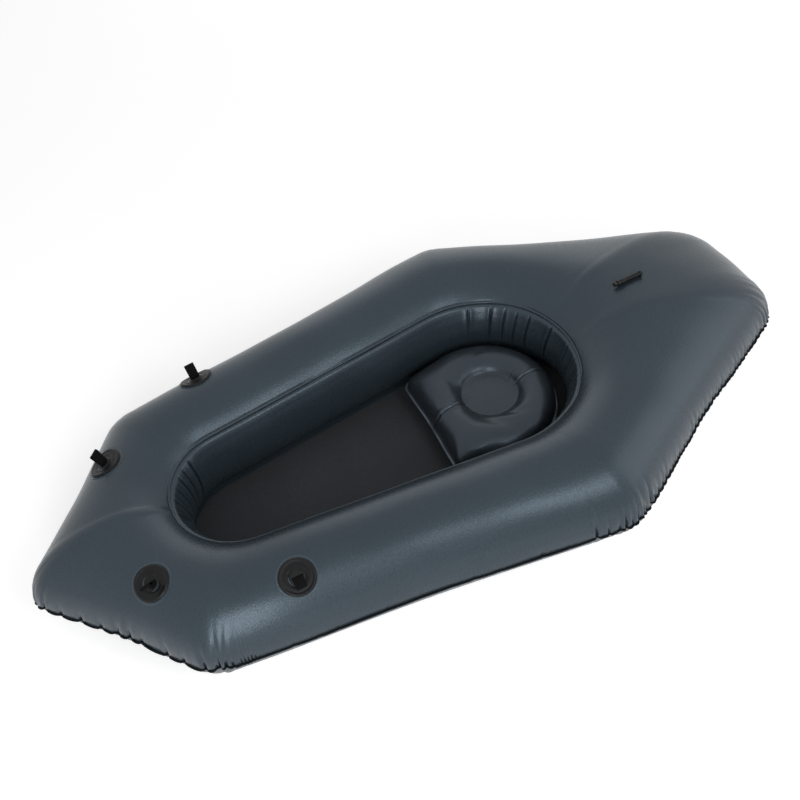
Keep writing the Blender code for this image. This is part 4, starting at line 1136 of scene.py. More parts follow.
class RAFT_OT_floor(bpy.types.Operator):
    """Floor sheet, stretched across the cockpit with a slight belly"""
    bl_idname = "raft.floor"
    bl_label = "Floor sheet"

    def execute(self, context):
        hull, settings = hull_of(context)
        edge = hull.section(foot_angle(FLOOR_TOP))[:, :2]
        edge -= hull.across * FLOOR_CLEAR
        front = int(np.argmax(edge[:, 0]))
        edge = np.roll(edge, -front, 0)
        rear = int(np.argmin(edge[:, 0]))
        port = edge[:rear + 1]
        starboard = np.concatenate([edge[rear:], edge[:1]])[::-1]
        turn = np.linspace(0, math.pi, FLOOR_GRID[0])
        middle = (edge[0, 0] + edge[rear, 0]) / 2
        reach = (edge[0, 0] - edge[rear, 0]) / 2
        xs = middle + reach * np.cos(turn)
        left = np.interp(xs[::-1], port[::-1, 0], port[::-1, 1])[::-1]
        right = np.interp(xs[::-1], starboard[::-1, 0], starboard[::-1, 1])[::-1]
        ways = 0.5 - 0.5 * np.cos(np.linspace(0, math.pi, FLOOR_GRID[1]))
        points = []
        for x, high, low in zip(xs, left, right):
            for way in ways:
                y = low + (high - low) * way
                inside = 4 * way * (1 - way) * max(0.0, 1 - ((x - middle) / reach) ** 2)
                ripple = 0.0006 * math.sin(31 * x + 5 * y) + 0.0004 * math.sin(23 * y - 17 * x)
                points.append((x, y, FLOOR_TOP - (FLOOR_BELLY + ripple) * inside))
        count = len(ways)
        faces = []
        for i in range(len(xs) - 1):
            for j in range(count - 1):
                low = i * count + j
                faces.append((low, low + 1, low + count + 1, low + count))
        sheet = new_object("cockpit_floor", points, faces)
        flat = np.array(points)
        set_uv(sheet, flat[:, 0] - flat[:, 0].min(), flat[:, 1])
        shape = bmesh.new()
        shape.from_mesh(sheet.data)
        bmesh.ops.remove_doubles(shape, verts=shape.verts, dist=0.00002)
        for face in shape.faces:
            if face.normal.z < 0:
                face.normal_flip()
        shape.to_mesh(sheet.data)
        shape.free()
        thicken(sheet, settings.sheet)
        smooth(sheet, 50)
        dress(sheet, finishes()["floor"], "hull", "floor_fabric", "floor_sheet")
        return {"FINISHED"}


def piece(name):
    """A piece that an earlier step has made."""
    thing = bpy.data.objects.get(name)
    if thing is None:
        raise RuntimeError("make " + name + " first")
    return thing


def copy_of(thing, name):
    """A copy of a piece, with a mesh of its own."""
    double = thing.copy()
    double.data = thing.data.copy()
    double.name = name
    double.data.name = name
    bpy.context.scene.collection.objects.link(double)
    return double


def discard(thing):
    """Take a blank or a cutter out of the scene."""
    activate(thing)
    bpy.ops.object.delete()


@functools.cache
def pad_frame(number):
    """Frame of a tie-down: X along the loop's hinge, Z straight out of the pad's flat boss."""
    hinge = joint(f"loop_{number}_swing")
    origin = Vector(hinge["pos_m"])
    out = Vector()
    for face in frame["nodes"][f"tie_down_pad_{number}"].data.polygons:
        way = face.center - origin
        if face.normal.z > 0 and way.length < BOSS_RADIUS and abs(way.dot(face.normal)) < FLAT:
            out += face.normal * face.area
    if not out.length:
        raise RuntimeError(f"pad {number} has no boss at its loop's hinge")
    x = Vector(hinge["axis"]).normalized()
    z = (out - x * out.dot(x)).normalized()
    return axes_matrix(x, z.cross(x), z, origin)


# Height from which a piece is let down on a surface, how far down the surface may be, and the
# width over which a flat hub turns into a draped rim
DRAPE_START = 0.05
DRAPE_REACH = 0.12
HUB_BLEND = 0.004


def drape(thing, matrix, tree, rest, hub):
    """Lay a flat piece on a surface along the frame's Z, and keep it flat inside the hub.

    The piece's heights are measured from the surface, which lies rest below the frame.
    """
    down = -matrix.to_3x3().col[2]
    for vertex in thing.data.vertices:
        x, y, z = vertex.co
        start = matrix @ Vector((x, y, DRAPE_START))
        far = tree.ray_cast(start, down, DRAPE_REACH)[3]
        if far is None:
            raise RuntimeError(thing.name + " reaches past the surface that it lies on")
        under = DRAPE_START - far
        share = min(max((math.hypot(x, y) - hub) / HUB_BLEND, 0.0), 1.0)
        share = share * share * (3 - 2 * share)
        vertex.co.z = z + under * share - rest * (1 - share)
    place_piece(thing, matrix)


def closed_strip(name, path, width, thickness):
    """Webbing along a closed path in the YZ plane, with its width along X and its UV in metres."""
    path = np.array(path)
    arc = lengths_round(path)[1]
    count = int(arc[-1] / WEBBING_STEP)
    marks = np.linspace(0, arc[-1], count, endpoint=False)
    closed = np.concatenate([path, path[:1]])
    y = around(np.interp(marks, arc, closed[:, 0]), 1)
    z = around(np.interp(marks, arc, closed[:, 1]), 1)
    line = np.stack([y, z], 1)
    normal = right_of(line)
    half = thickness / 2
    edge = width / 2
    across = np.linspace(-1, 1, 15)
    ring = [(edge * share, half) for share in across[1:-1]]
    ring += [(edge - half * 0.35, half * 0.80), (edge, 0.0), (edge - half * 0.35, -half * 0.80)]
    ring += [(-x, -h) for x, h in ring[:13]]
    ring += [(-edge + half * 0.35, -half * 0.80), (-edge, 0.0), (-edge + half * 0.35, half * 0.80)]
    points = []
    flat = []
    for k in range(count):
        wave = 1 + PICK_DEPTH / edge * math.sin(math.tau * marks[k] / PICK_PITCH)
        for x, height in ring:
            spot = line[k] + normal[k] * height
            points.append((x * wave, spot[0], spot[1]))
            flat.append((x, marks[k]))
    thing = new_object(name, points, grid_faces(count, len(ring), closed=True))
    write_uv(thing, np.array(flat)[corner_points(thing)])
    face_outwards(thing)
    return thing


class RAFT_OT_patches(bpy.types.Operator):
    """Round base patches, laid on the deck under the tie-down pads"""
    bl_idname = "raft.patches"
    bl_label = "Base patches"

    def execute(self, context):
        parts = context.scene.raft_fittings
        deck = surface(piece("deck_sheet"))
        edge = parts.base_radius
        rings = [0.0, 0.012, 0.024, 0.034, 0.041, edge - 0.0016]
        profile = [(radius, 0.0010) for radius in rings]
        profile += [(edge - 0.0010, 0.0013), (edge - 0.0004, 0.0013), (edge, 0.0008), (edge, 0.0003)]
        profile += [(radius, 0.0001) for radius in reversed(rings)]
        blank = turned_piece("patch_blank", profile, 96)
        for number in (1, 2, 3, 4):
            patch = copy_of(blank, f"tie_down_patch_{number}")
            drape(patch, pad_frame(number), deck, PAD_REST, 0.0)
            smooth(patch)
            # The patches wear the paler copy of the hull fabric, a painted highlight on their rims
            dress(patch, finishes()["patch"], "hull", "hull_fabric", f"tie_down_base_{number}")
        discard(blank)
        return {"FINISHED"}


class RAFT_OT_pads(bpy.types.Operator):
    """Moulded pads with a slotted boss, a dished web and a ring"""
    bl_idname = "raft.pads"
    bl_label = "Tie-down pads"

    def execute(self, context):
        parts = context.scene.raft_fittings
        deck = surface(piece("deck_sheet"))
        edge = parts.pad_radius
        top = PAD_REST
        profile = [(0.0, top), (0.0080, top), (0.0162, top), (0.0170, top - 0.0003),
                   (0.0178, top - 0.0012), (0.0190, top - 0.0026), (0.0204, 0.0036),
                   (0.0222, 0.0031), (0.0262, 0.0030), (0.0267, 0.0035), (0.0276, 0.0035),
                   (0.0281, 0.0030), (0.0318, 0.0030), (0.0345, 0.0034), (0.0362, 0.0044),
                   (0.0376, 0.0050), (0.0390, 0.0049), (0.0402, 0.0040), (0.0409, 0.0036),
                   (edge - 0.0006, 0.0033), (edge, 0.0028), (edge, 0.0017),
                   (edge - 0.0004, 0.0014), (0.0340, 0.0014), (0.0240, 0.0014), (0.0120, 0.0014),
                   (0.0, 0.0014)]
        blank = turned_piece("pad_blank", profile, 96)
        deselect()
        bpy.ops.mesh.primitive_cylinder_add(vertices=32, radius=SLOT_RADIUS, depth=SLOT_LENGTH,
                                            location=(0, 0, top), rotation=(0, math.pi / 2, 0))
        slot = context.object
        slot.name = "slot_cutter"
        apply_modifier(blank, "BOOLEAN", object=slot, operation="DIFFERENCE", solver="EXACT")
        discard(slot)
        for number in (1, 2, 3, 4):
            pad = copy_of(blank, f"tie_down_pad_dressed_{number}")
            drape(pad, pad_frame(number), deck, PAD_REST, PAD_HUB)
            smooth(pad, 30)
            dress(pad, finishes()["rubber"], "hull", "black_rubber", f"tie_down_pad_{number}")
        discard(blank)
        return {"FINISHED"}


class RAFT_OT_loops(bpy.types.Operator):
    """Webbing loops that stand in the pads' slots"""
    bl_idname = "raft.loops"
    bl_label = "Webbing loops"

    def execute(self, context):
        parts = context.scene.raft_fittings
        thick = WEBBING_THICKNESS
        for number, belly, lean in LOOP_FORMS:
            crown = parts.loop_height - thick / 2 - belly
            side = [(0.0005, -0.0004), (LOOP_LEG, 0.0002), (LOOP_LEG, 0.005), (LOOP_LEG, 0.0098)]
            for k in range(1, 17):
                share = k / 16
                swell = math.sin(share * math.pi / 2) ** 1.3
                side.append((LOOP_LEG + (belly - LOOP_LEG) * swell,
                             LOOP_ROOT + (crown - LOOP_ROOT) * share))
            for k in range(1, 8):
                turn = math.pi / 2 * k / 8
                side.append((belly * math.cos(turn), crown + belly * math.sin(turn)))
            path = [(0.0, -0.0006)] + side + [(0.0, crown + belly)]
            path += [(-y, z) for y, z in reversed(side)]
            path = [(y + lean * max(z - LOOP_ROOT, 0) / LOOP_RISE, z) for y, z in path]
            loop = closed_strip(f"webbing_loop_{number}", path, parts.webbing, thick)
            place_piece(loop, pad_frame(number) @ Matrix.Rotation(-LOOP_LEANS[number - 1], 4, "X"))
            smooth(loop, 40)
            dress(loop, finishes()["webbing"], f"loop_{number}", "black_webbing",
                  f"tie_down_loop_{number}")
        return {"FINISHED"}


def ball_arc(radius, first, last, steps):
    """Points of a ball's profile, by angles from its axis."""
    turns = [first + (last - first) * k / steps for k in range(steps + 1)]
    return [(radius * math.sin(turn), radius * math.cos(turn)) for turn in turns]


class RAFT_OT_oral_tube(bpy.types.Operator):
    """Soft tube that is blown into, its hard mouthpiece and the poppet in it"""
    bl_idname = "raft.oral_tube"
    bl_label = "Oral tube"

    def execute(self, context):
        lying = Matrix(((0, 0, 1, 0), (0, 1, 0, 0), (-1, 0, 0, 0), (0, 0, 0, 1)))
        root = Matrix.Translation(joint("oral_tube_lift")["pos_m"]) @ lying
        end = 0.060
        profile = [(0.0, 0.0), (0.0043, 0.0), (0.0043, end - 0.0006), (0.0049, end),
                   (0.0069, end), (0.0075, end - 0.0006), (0.0075, 0.0482), (0.0073, 0.0476),
                   (0.0066, 0.0464), (0.0065, 0.0455), (0.0065, 0.0300), (0.0065, 0.0150),
                   (0.0067, 0.0140), (0.0067, 0.0128), (0.0065, 0.0118)]
        profile += ball_arc(0.0080, math.asin(0.0065 / 0.0080), math.pi - 0.02, 14)
        profile.append((0.0, -0.0080))
        tube = turned_piece("inflation_tube", profile, 64, 0.0, root)
        dress(tube, finishes()["rubber"], "inflation_tube", "black_rubber", "oral_tube")
        mouth = root @ Matrix.Translation((0, 0, end))
        top = 0.0173
        profile = [(0.0033, top), (0.0053, top), (0.0058, top - 0.0004), (0.0061, top - 0.0008),
                   (0.0058, top - 0.0013), (0.0053, top - 0.0024), (0.0052, 0.0068),
                   (0.0078, 0.0068), (0.0078, 0.0003), (0.0040, 0.0003), (0.0040, -0.0115),
                   (0.0033, -0.0115), (0.00333, 0.00235), (0.0019, 0.00235), (0.0019, 0.00355),
                   (0.0033, 0.00355), (0.0033, top)]
        lip = turned_piece("tube_mouthpiece", profile, 64, 0.0002, mouth)
        dress(lip, finishes()["plastic"], "mouthpiece", "black_plastic", "oral_mouthpiece")
        profile = [(0.0, 0.0183), (0.0023, 0.0183), (0.0027, 0.0179), (0.0027, 0.0167),
                   (0.0012, 0.0167), (0.0012, -0.0118), (0.0040, -0.0118), (0.0040, -0.0132),
                   (0.0, -0.0132)]
        poppet = turned_piece("tube_poppet", profile, 32, 0.0, mouth)
        dress(poppet, finishes()["plastic"], "poppet", "black_plastic", "oral_poppet")
        return {"FINISHED"}


def valve_frame():
    """Frame of the main valve: Z straight out of the tube."""
    hinge = joint("main_cap_turn")
    z = Vector(hinge["axis"]).normalized()
    x = Vector((1, 0, 0))
    x = (x - z * x.dot(z)).normalized()
    return axes_matrix(x, z.cross(x), z, Vector(hinge["pos_m"]))


class RAFT_OT_main_valve(bpy.types.Operator):
    """Large filling valve: collar, insert, gasket and cap"""
    bl_idname = "raft.main_valve"
    bl_label = "Main valve"

    def execute(self, context):
        place = valve_frame()
        deck = piece("deck_sheet")
        deselect()
        bpy.ops.mesh.primitive_cylinder_add(vertices=48, radius=VALVE_HOLE, depth=0.03)
        hole = context.object
        hole.name = "hole_cutter"
        place_piece(hole, place)
        skin = surface(deck)
        apply_modifier(deck, "BOOLEAN", object=hole, operation="DIFFERENCE", solver="EXACT")
        discard(hole)
        smooth(deck, 50)

        profile = [(0.0130, 0.0108), (0.0175, 0.0108), (0.0175, 0.0088), (0.0171, 0.0085),
                   (0.0171, 0.0066), (0.0175, 0.0063), (0.0175, 0.0046), (0.0171, 0.0043),
                   (0.0171, 0.0030), (0.0175, 0.0026), (0.0175, -0.0011), (0.0200, -0.0011),
                   (0.0240, -0.0011), (0.0280, -0.0011), (0.0310, -0.0011), (0.0310, -0.0023),
                   (0.0280, -0.0023), (0.0240, -0.0023), (0.0200, -0.0023), (0.0175, -0.0023),
                   (0.0175, -0.0060), (0.0100, -0.0060), (0.0100, -0.0045), (0.0130, -0.0045),
                   (0.0130, 0.0108)]
        body = turned_piece("valve_collar", profile, 72, 0.0002)
        drape(body, place, skin, 0.0, COLLAR_HUB)
        smooth(body)
        dress(body, finishes()["plastic"], "hull", "black_plastic", "main_valve_body")

        profile = [(0.0, 0.0083), (0.0041, 0.0083), (0.0046, 0.0078), (0.0046, 0.0068),
                   (0.0020, 0.0068), (0.0020, -0.0052), (0.0032, -0.0052), (0.0032, -0.0060),
                   (0.0020, -0.0060), (0.0020, -0.0081), (0.0032, -0.0081), (0.0032, -0.0089),
                   (0.0, -0.0089)]
        stem = turned_piece("valve_stem", profile, 32, 0.0, place)
        dress(stem, finishes()["plastic"], "valve_insert", "black_plastic", "main_valve_stem")
        profile = [(0.0023, -0.0063), (0.0113, -0.0063), (0.0118, -0.0066), (0.0118, -0.0076),
                   (0.0023, -0.0078), (0.0023, -0.0063)]
        disc = turned_piece("valve_diaphragm", profile, 64, 0.0, place)
        dress(disc, finishes()["rubber"], "valve_insert", "black_rubber", "main_valve_diaphragm")
        ring = [(0.01525 + 0.0012 * math.cos(math.tau * k / 16),
                 0.0123 - 0.0012 * math.sin(math.tau * k / 16)) for k in range(17)]
        gasket = turned_piece("valve_gasket", ring, 64, 0.0, place)
        dress(gasket, finishes()["rubber"], "cap_gasket", "black_rubber", "main_valve_gasket")
        self.make_cap(place)
        return {"FINISHED"}

    def make_cap(self, place):
        """The cap: a turned shell with a grip bar, fluted round its skirt."""
        outer = 0.0208
        inner = 0.0180
        roof = 0.0138
        top = 0.0166
        profile = [(0.0, top), (0.0120, top), (0.0190, top), (0.0202, top - 0.0004),
                   (outer, top - 0.0013), (outer, 0.0036), (outer - 0.0005, 0.0030),
                   (inner, 0.0030), (inner, roof), (0.0, roof)]
        cap = turned_piece("valve_cap", profile, 96)
        deselect()
        bpy.ops.mesh.primitive_cube_add(size=1, location=(0, 0, top + 0.0015),
                                        scale=(0.0360, 0.0050, 0.0070))
        bar = bpy.context.object
        bpy.ops.object.transform_apply(location=True, rotation=True, scale=True)
        bar.name = "grip_bar"
        apply_modifier(bar, "BEVEL", width=0.0010, segments=3)
        apply_modifier(cap, "BOOLEAN", object=bar, operation="UNION", solver="EXACT")
        discard(bar)
        flutes = []
        for k in range(36):
            turn = math.tau * (k + 0.5) / 36
            deselect()
            bpy.ops.mesh.primitive_cylinder_add(
                vertices=8, radius=0.0007, depth=0.0096, rotation=(0, 0, turn),
                location=((outer + 0.0002) * math.cos(turn), (outer + 0.0002) * math.sin(turn),
                          0.0088))
            flutes.append(bpy.context.object)
        deselect()
        for flute in flutes:
            flute.select_set(True)
        bpy.ops.object.join()
        bpy.ops.object.transform_apply(location=True, rotation=True, scale=True)
        cutter = bpy.context.object
        apply_modifier(cap, "BOOLEAN", object=cutter, operation="DIFFERENCE", solver="EXACT")
        discard(cutter)
        place_piece(cap, place)
        smooth(cap, 30)
        dress(cap, finishes()["plastic"], "cap", "black_plastic", "main_valve_cap")


# Seat

def seat_seam(context):
    """The seat's seam in plan, anticlockwise, with its outward directions."""
    flange = context.scene.raft_seat.flange
    corner_x = SEAT_FRONT_X - SEAT_CORNER_RADIUS
    corner_y = SEAT_FRONT_HALF_WIDTH - SEAT_CORNER_RADIUS
    corner = SEAT_CORNER_RADIUS - flange
    circles = ((corner_x, SEAT_Y + corner_y, corner, 0.0, 0.02, 0.0),
               (COCKPIT_STERN[0], SEAT_Y, SEAT_REAR_RADIUS - flange, 0.0, 0.02, 0.0),
               (corner_x, SEAT_Y - corner_y, corner, 0.004, 0.02, 0.0))
    dense = outline_points(circles, 0.0010)[0]
    arc = lengths_round(dense)[1]
    marks = np.linspace(0, arc[-1], SEAT_COLUMNS, endpoint=False)
    closed = np.concatenate([dense, dense[:1]])
    path = np.stack([np.interp(marks, arc, closed[:, 0]), np.interp(marks, arc, closed[:, 1])], 1)
    middle = np.array([WELD_X, SEAT_Y])
    turn = np.array([[math.cos(SEAT_TURN), -math.sin(SEAT_TURN)],
                     [math.sin(SEAT_TURN), math.cos(SEAT_TURN)]])
    path = middle + (path - middle) @ turn.T
    return path, right_of(path), marks


def seat_half(path, seam, crest, middle_height, crest_share, shares, power):
    """Rows from the seam in to the round weld, over one face of the cushion."""
    middle = np.array([WELD_X, SEAT_Y])
    ray = path - middle
    ray /= np.linalg.norm(ray, axis=1)[:, None]
    weld = middle + ray * WELD_RADIUS
    rows = []
    for share in shares:
        if share > crest_share:
            part = (share - crest_share) / (1 - crest_share)
            foot = seam
        else:
            part = 1 - share / crest_share
            foot = middle_height
        bulge = max(1 - part ** power, 0.0) ** (1 / power)
        height = foot + (crest - foot) * bulge
        rows.append(with_height(weld + (path - weld) * share, height))
    return rows


class RAFT_OT_seat(bpy.types.Operator):
    """Seat cushion, blown up as cloth, with its round weld and its welded edge"""
    bl_idname = "raft.seat"
    bl_label = "Seat"

    def execute(self, context):
        settings = context.scene.raft_seat
        path, outward, along = seat_seam(context)
        sole = FLOOR_TOP + GAP
        shares = 1 - np.linspace(0, 1, 27) ** 1.15
        top = seat_half(path, SEAT_SEAM, SEAT_CROWN, WELD_LEVEL, 0.46, shares, 2.0)
        middle = np.array([WELD_X, SEAT_Y])
        weld = top[-1]
        for inner in RECESS_RINGS:
            ring = weld.copy()
            ring[:, :2] = middle + (ring[:, :2] - middle) * inner
            ring[:, 2] += RECESS_DOME * (1 - inner ** 2)
            top.append(ring)
        low = seat_half(path, SEAT_SEAM, sole, sole, 0.55, 1 - np.linspace(0, 1, 13)[1:] ** 1.1,
                        2.6)
        rows = low[::-1] + top
        count = len(path)
        points = np.concatenate(rows)
        faces = grid_faces(len(rows), count)
        last = (len(rows) - 1) * count
        faces += [tuple(range(last, last + count)), tuple(reversed(range(count)))]
        seat = new_object("seat_cushion", points, faces)
        face_outwards(seat)
        self.blow_up(context, seat, points, sole)
        self.subdivide(seat)
        self.crease(seat)
        spots = np.array([tuple(point.co) for point in seat.data.vertices])
        write_uv(seat, spots[corner_points(seat), :2])
        smooth(seat, 60)
        dress(seat, finishes()["seat"], "seat", "seat_fabric", "seat_top_skin",
              "seat_bottom_skin")
        self.edge_strip(settings, path, outward, along)
        return {"FINISHED"}

    def blow_up(self, context, seat, points, sole):
        """Fill the cushion with air as cloth, held at its weld, its seam and its sole."""
        settings = context.scene.raft_seat
        group = seat.vertex_groups.new(name="held")
        away = np.linalg.norm(points[:, :2] - np.array([WELD_X, SEAT_Y]), axis=1)
        held = (away < WELD_RADIUS + 0.0005) | (points[:, 2] < sole + 0.002)
        held |= np.abs(points[:, 2] - SEAT_SEAM) < 0.0004
        group.add([int(k) for k in np.nonzero(held)[0]], 1.0, "REPLACE")
        modifier = seat.modifiers.new("Air", "CLOTH")
        cloth = modifier.settings
        cloth.vertex_group_mass = "held"
        cloth.use_pressure = True
        cloth.uniform_pressure_force = settings.pressure
        cloth.effector_weights.gravity = 0
        cloth.quality = 6
        cloth.mass = 0.1
        cloth.tension_stiffness = 40
        cloth.compression_stiffness = 10
        cloth.shear_stiffness = 10
        cloth.bending_stiffness = 0.2
        cloth.shrink_min = -0.02
        modifier.point_cache.frame_start = 1
        modifier.point_cache.frame_end = settings.frames
        for step in range(1, settings.frames + 1):
            context.scene.frame_set(step)
        activate(seat)
        bpy.ops.object.modifier_apply(modifier="Air")
        context.scene.frame_set(1)
        moved = np.zeros(len(points) * 3)
        seat.data.vertices.foreach_get("co", moved)
        shift = (moved.reshape(-1, 3) - points).reshape(-1, SEAT_COLUMNS, 3)
        shift = around(shift.transpose(1, 0, 2), 3).transpose(1, 0, 2).reshape(-1, 3)
        size = np.linalg.norm(shift, axis=1)
        share = np.minimum(1.0, settings.swell / np.maximum(size, 1e-9))
        low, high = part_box("seat_valve_body")
        valve = Vector(low).lerp(Vector(high), 0.5)
        apart = np.linalg.norm(points - np.array(tuple(valve)), axis=1)
        share *= np.clip((apart - VALVE_GUARD) / VALVE_BLEND, 0, 1)
        shift *= share[:, None]
        final = points + shift
        final[:, 2] = np.maximum(final[:, 2], sole)
        seat.data.vertices.foreach_set("co", final.ravel())
        seat.data.update()

    def subdivide(self, seat):
        """Subdivide the cushion once, with its two round end faces left whole."""
        shape = bmesh.new()
        shape.from_mesh(seat.data)
        ends = [face for face in shape.faces if len(face.verts) > 4]
        bmesh.ops.delete(shape, geom=ends, context="FACES_ONLY")
        shape.to_mesh(seat.data)
        shape.free()
        apply_modifier(seat, "SUBSURF", levels=1, render_levels=1)
        bpy.ops.object.mode_set(mode="EDIT")
        bpy.ops.mesh.select_all(action="SELECT")
        bpy.ops.mesh.fill_holes(sides=0)
        bpy.ops.object.mode_set(mode="OBJECT")

    def crease(self, seat):
        """The folds at the front and rear, the fine puckers round the weld, and painted shade in the
        folds and along the weld.
        """
        mesh = seat.data
        spots = np.zeros(len(mesh.vertices) * 3)
        mesh.vertices.foreach_get("co", spots)
        spots = spots.reshape(-1, 3)
        normals = np.zeros(len(mesh.vertices) * 3)
        mesh.vertex_normals.foreach_get("vector", normals)
        normals = normals.reshape(-1, 3)
        x = spots[:, 0] - WELD_X
        y = spots[:, 1] - SEAT_Y
        away = np.hypot(x, y)
        turn = np.arctan2(y, x)
        up = spots[:, 2] > SEAT_SEAM + 0.004
        offset = np.zeros(len(spots))
        # The dark line round the weld: partly the weld's own joint, partly painted shade at the
        # recess's edge
        shade = 0.75 * up * bell(away - WELD_RADIUS, 0.0016)
        for angle, depth, wide, first, last in SEAT_CREASES:
            gap = away * np.sin((turn - angle + math.pi) % math.tau - math.pi)
            ahead = np.cos(turn - angle) > 0
            fade = before(first - away, 0.006) * before(away - last, 0.010)
            offset += np.where(ahead & up, depth * fade * fold_profile(gap / wide), 0)
            # Painted shade along the valley of each crease
            shade += np.where(ahead & up, 0.8 * fade * bell(gap, 0.55 * wide), 0)
        paint_seam_and_crease_shade(seat, np.clip(shade, 0, 0.9))
        draw = np.random.default_rng(SEAT_SEED)
        past = away - WELD_RADIUS
        for first, last in SEAT_PUCKERS:
            angle = first
            while angle < last:
                reach = drawn(draw, SEAT_PUCKER_LENGTH)
                depth = drawn(draw, SEAT_PUCKER_DEPTH)
                wide = drawn(draw, SEAT_PUCKER_WIDTH)
                gap = away * np.sin((turn - angle + math.pi) % math.tau - math.pi)
                ahead = np.cos(turn - angle) > 0
                fade = np.exp(-(np.abs(past - 0.004) / reach) ** 1.5)
                offset += np.where(ahead & up, depth * fade * fold_profile(gap / wide), 0)
                angle += drawn(draw, SEAT_PUCKER_TURN)
        spots += normals * offset[:, None]
        mesh.vertices.foreach_set("co", spots.ravel())
        mesh.update()

    def edge_strip(self, settings, path, outward, along):
        """The seat's welded edge, a thin flat strip with a slight wave."""
        wave = 0.0006 * np.sin(along / 0.013) + 0.0005 * np.sin(along / 0.029 + 1.0)
        rows = []
        for reach, height in ((-0.0012, 0.0008), (0.001, 0.0009), (settings.flange - 0.0006, 0.0008),
                              (settings.flange, 0.0), (settings.flange - 0.0006, -0.0008),
                              (0.001, -0.0009), (-0.0012, -0.0008)):
            flat = path + outward * (reach + wave * 0.5 * (reach > 0))[:, None]
            level = SEAT_SEAM + height + wave * max(reach, 0) / settings.flange
            rows.append(with_height(flat, level))
        strip = closed_band("seat_welded_edge", np.array(rows), along, 0.012)
        smooth(strip, 40)
        # The welded edge wears a paler copy of the seat fabric, a painted highlight
        dress(strip, finishes()["edge"], "seat", "seat_fabric")


def frame_on_axis(node_name, axis, top):
    """Frame of a turned node, its origin a known distance below the node's end."""
    thing = frame["nodes"][node_name]
    z = Vector(axis).normalized()
    spots = [thing.matrix_world @ vertex.co for vertex in thing.data.vertices]
    mean = sum(spots, Vector()) / len(spots)
    end = max(spot.dot(z) for spot in spots)
    origin = mean + z * (end - top - mean.dot(z))
    x = Vector((1, 0, 0))
    x = (x - z * x.dot(z)).normalized()
    return axes_matrix(x, z.cross(x), z, origin)


class RAFT_OT_seat_valve(bpy.types.Operator):
    """The seat's own small valve with its pull-out plug"""
    bl_idname = "raft.seat_valve"
    bl_label = "Seat valve"

    def execute(self, context):
        place = frame_on_axis("seat_valve_plug", joint("seat_plug_pull")["axis"], 0.0098)
        skin = surface(piece("seat_cushion"))
        profile = [(0.0036, 0.0070), (0.0061, 0.0070), (0.0065, 0.0066), (0.0065, 0.0022),
                   (0.0070, 0.0013), (0.0085, 0.0011), (0.0110, 0.0011), (0.0136, 0.0011),
                   (0.0140, 0.0007), (0.0140, 0.0003), (0.0110, 0.0003), (0.0065, 0.0003),
                   (0.0065, -0.0016), (0.0036, -0.0016), (0.0036, 0.0070)]
        body = turned_piece("seat_valve_neck", profile, 64)
        drape(body, place, skin, 0.0, NECK_HUB)
        smooth(body)
        dress(body, finishes()["plastic"], "seat", "black_plastic", "seat_valve_body")
        profile = [(0.0, 0.0098), (0.0070, 0.0098), (0.0075, 0.0093), (0.0075, 0.0078),
                   (0.0071, 0.0073), (0.0032, 0.0073), (0.0032, 0.0027), (0.0028, 0.0023),
                   (0.0, 0.0023)]
        plug = turned_piece("seat_valve_stopper", profile, 48, 0.0, place)
        dress(plug, finishes()["rubber"], "seat_plug", "black_rubber", "seat_valve_plug")
        return {"FINISHED"}


class RAFT_OT_hidden_parts(bpy.types.Operator):
    """Finishes of the frame's own parts that stay as they are"""
    bl_idname = "raft.hidden_parts"
    bl_label = "Parts of the frame"

    def execute(self, context):
        kept = {"oral_flange": "rubber", "main_valve_spider": "plastic",
                "main_valve_spring": "steel", "oral_spring": "steel", "seat_baffle": "seat"}
        for name, finish in kept.items():
            thing = frame["nodes"][name]
            for entry in thing.material_slots:
                entry.material = finishes()[finish]
        return {"FINISHED"}


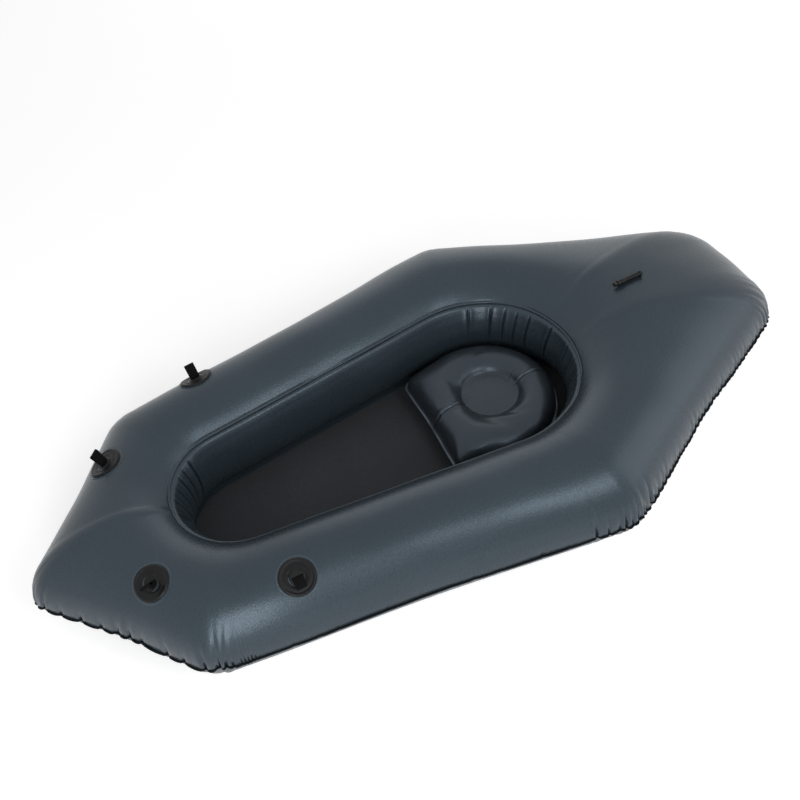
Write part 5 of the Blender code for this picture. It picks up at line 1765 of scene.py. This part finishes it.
class RAFT_OT_stage(bpy.types.Operator):
    """Pale floor, soft studio light and the photograph's camera"""
    bl_idname = "raft.stage"
    bl_label = "Stage"

    def execute(self, context):
        stage = context.scene.raft_stage
        self.lay_ground(stage)
        self.light_world(context.scene, stage)
        for lamp in LAMPS:
            self.hang_lamp(context.scene, getattr(stage, lamp[0]), *lamp)
        self.set_camera(context.scene, stage)
        context.scene.view_settings.view_transform = "Standard"
        return {"FINISHED"}

    def lay_ground(self, stage):
        """A matt pale floor that keeps the raft's shadow, and is white to the camera."""
        deselect()
        bpy.ops.mesh.primitive_plane_add(size=GROUND_SIZE, location=(0, 0, -GROUND_DROP))
        ground = bpy.context.object
        ground.name = "studio_floor"
        tree, shader = shader_of("studio_floor", roughness=0.9, specular_ior_level=0.0,
                                 base_color=tuple(stage.ground) + (1.0,),
                                 emission_color=(1, 1, 1, 1))
        link(tree, shader,
             emission_strength=both(tree, background_rays(tree), stage.glow, "MULTIPLY"))
        ground.data.materials.append(bpy.data.materials["studio_floor"])

    def light_world(self, scene, stage):
        """An even sky, which is plain white where the background is seen."""
        world = bpy.data.worlds.new("studio")
        world.use_nodes = True
        tree = world.node_tree
        back = tree.nodes["Background"]
        back.inputs["Color"].default_value = (1.0, 1.0, 1.0, 1.0)
        strength = spread(tree, background_rays(tree), stage.sky, 1.0, 0.0, 1.0)
        link(tree, back, strength=strength)
        scene.world = world

    def hang_lamp(self, scene, power, name, size, place):
        """A large lamp that faces the raft."""
        lamp = bpy.data.lights.new(name, "AREA")
        lamp.shape = "RECTANGLE"
        lamp.energy = power
        lamp.size, lamp.size_y = size
        thing = bpy.data.objects.new(name, lamp)
        thing.location = place
        aim = LAMP_TARGET - Vector(place)
        thing.rotation_euler = aim.to_track_quat("-Z", "Y").to_euler()
        scene.collection.objects.link(thing)

    def set_camera(self, scene, stage):
        """The camera that took the photograph, round its target."""
        azimuth = stage.azimuth
        elevation = stage.elevation
        back = Vector((math.sin(azimuth) * math.cos(elevation),
                       -math.cos(azimuth) * math.cos(elevation), math.sin(elevation)))
        right = (-back).cross(Vector((0, 0, 1))).normalized()
        up = right.cross(-back)
        x = right * math.cos(stage.roll) + up * math.sin(stage.roll)
        y = up * math.cos(stage.roll) - right * math.sin(stage.roll)
        camera = bpy.data.cameras.new("camera")
        camera.lens = stage.lens
        camera.clip_start = 0.01
        eye = bpy.data.objects.new("camera", camera)
        eye.matrix_world = axes_matrix(x, y, back, Vector(stage.target) + back * stage.distance)
        scene.collection.objects.link(eye)
        scene.camera = eye


class RAFT_PT_panel(bpy.types.Panel):
    """Steps of the raft, in order"""
    bl_idname = "RAFT_PT_panel"
    bl_label = "Inflatable raft"
    bl_space_type = "VIEW_3D"
    bl_region_type = "UI"
    bl_category = "Raft"

    def draw(self, context):
        for step in STEPS:
            self.layout.operator(step.bl_idname)
        for group in GROUPS:
            settings = getattr(context.scene, group)
            box = self.layout.box()
            for key in settings.__annotations__:
                box.prop(settings, key)


GROUPS = {"raft_hull": RaftHullSettings, "raft_seat": RaftSeatSettings,
          "raft_fittings": RaftFittingSettings, "raft_stage": RaftStageSettings}
STEPS = (RAFT_OT_deck, RAFT_OT_wall, RAFT_OT_bottom, RAFT_OT_seam_tape, RAFT_OT_floor,
         RAFT_OT_patches, RAFT_OT_pads, RAFT_OT_loops, RAFT_OT_oral_tube, RAFT_OT_main_valve,
         RAFT_OT_seat, RAFT_OT_seat_valve, RAFT_OT_hidden_parts, RAFT_OT_stage)
CLASSES = (*GROUPS.values(), *STEPS, RAFT_PT_panel)


def register():
    """Make the settings, the steps and the panel known to Blender."""
    for kind in CLASSES:
        bpy.utils.register_class(kind)
    for name, kind in GROUPS.items():
        setattr(bpy.types.Scene, name, PointerProperty(type=kind))


def unregister():
    """Take them out again."""
    for name in GROUPS:
        delattr(bpy.types.Scene, name)
    for kind in reversed(CLASSES):
        bpy.utils.unregister_class(kind)


def main():
    """Dress the frame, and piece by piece."""
    register()
    bpy.ops.raft.deck()
    bpy.ops.raft.wall()
    bpy.ops.raft.bottom()
    bpy.ops.raft.seam_tape()
    bpy.ops.raft.floor()
    bpy.ops.raft.patches()
    bpy.ops.raft.pads()
    bpy.ops.raft.loops()
    bpy.ops.raft.oral_tube()
    bpy.ops.raft.main_valve()
    bpy.ops.raft.seat()
    bpy.ops.raft.seat_valve()
    bpy.ops.raft.hidden_parts()
    bpy.ops.raft.stage()


if __name__ == "__main__":
    main()
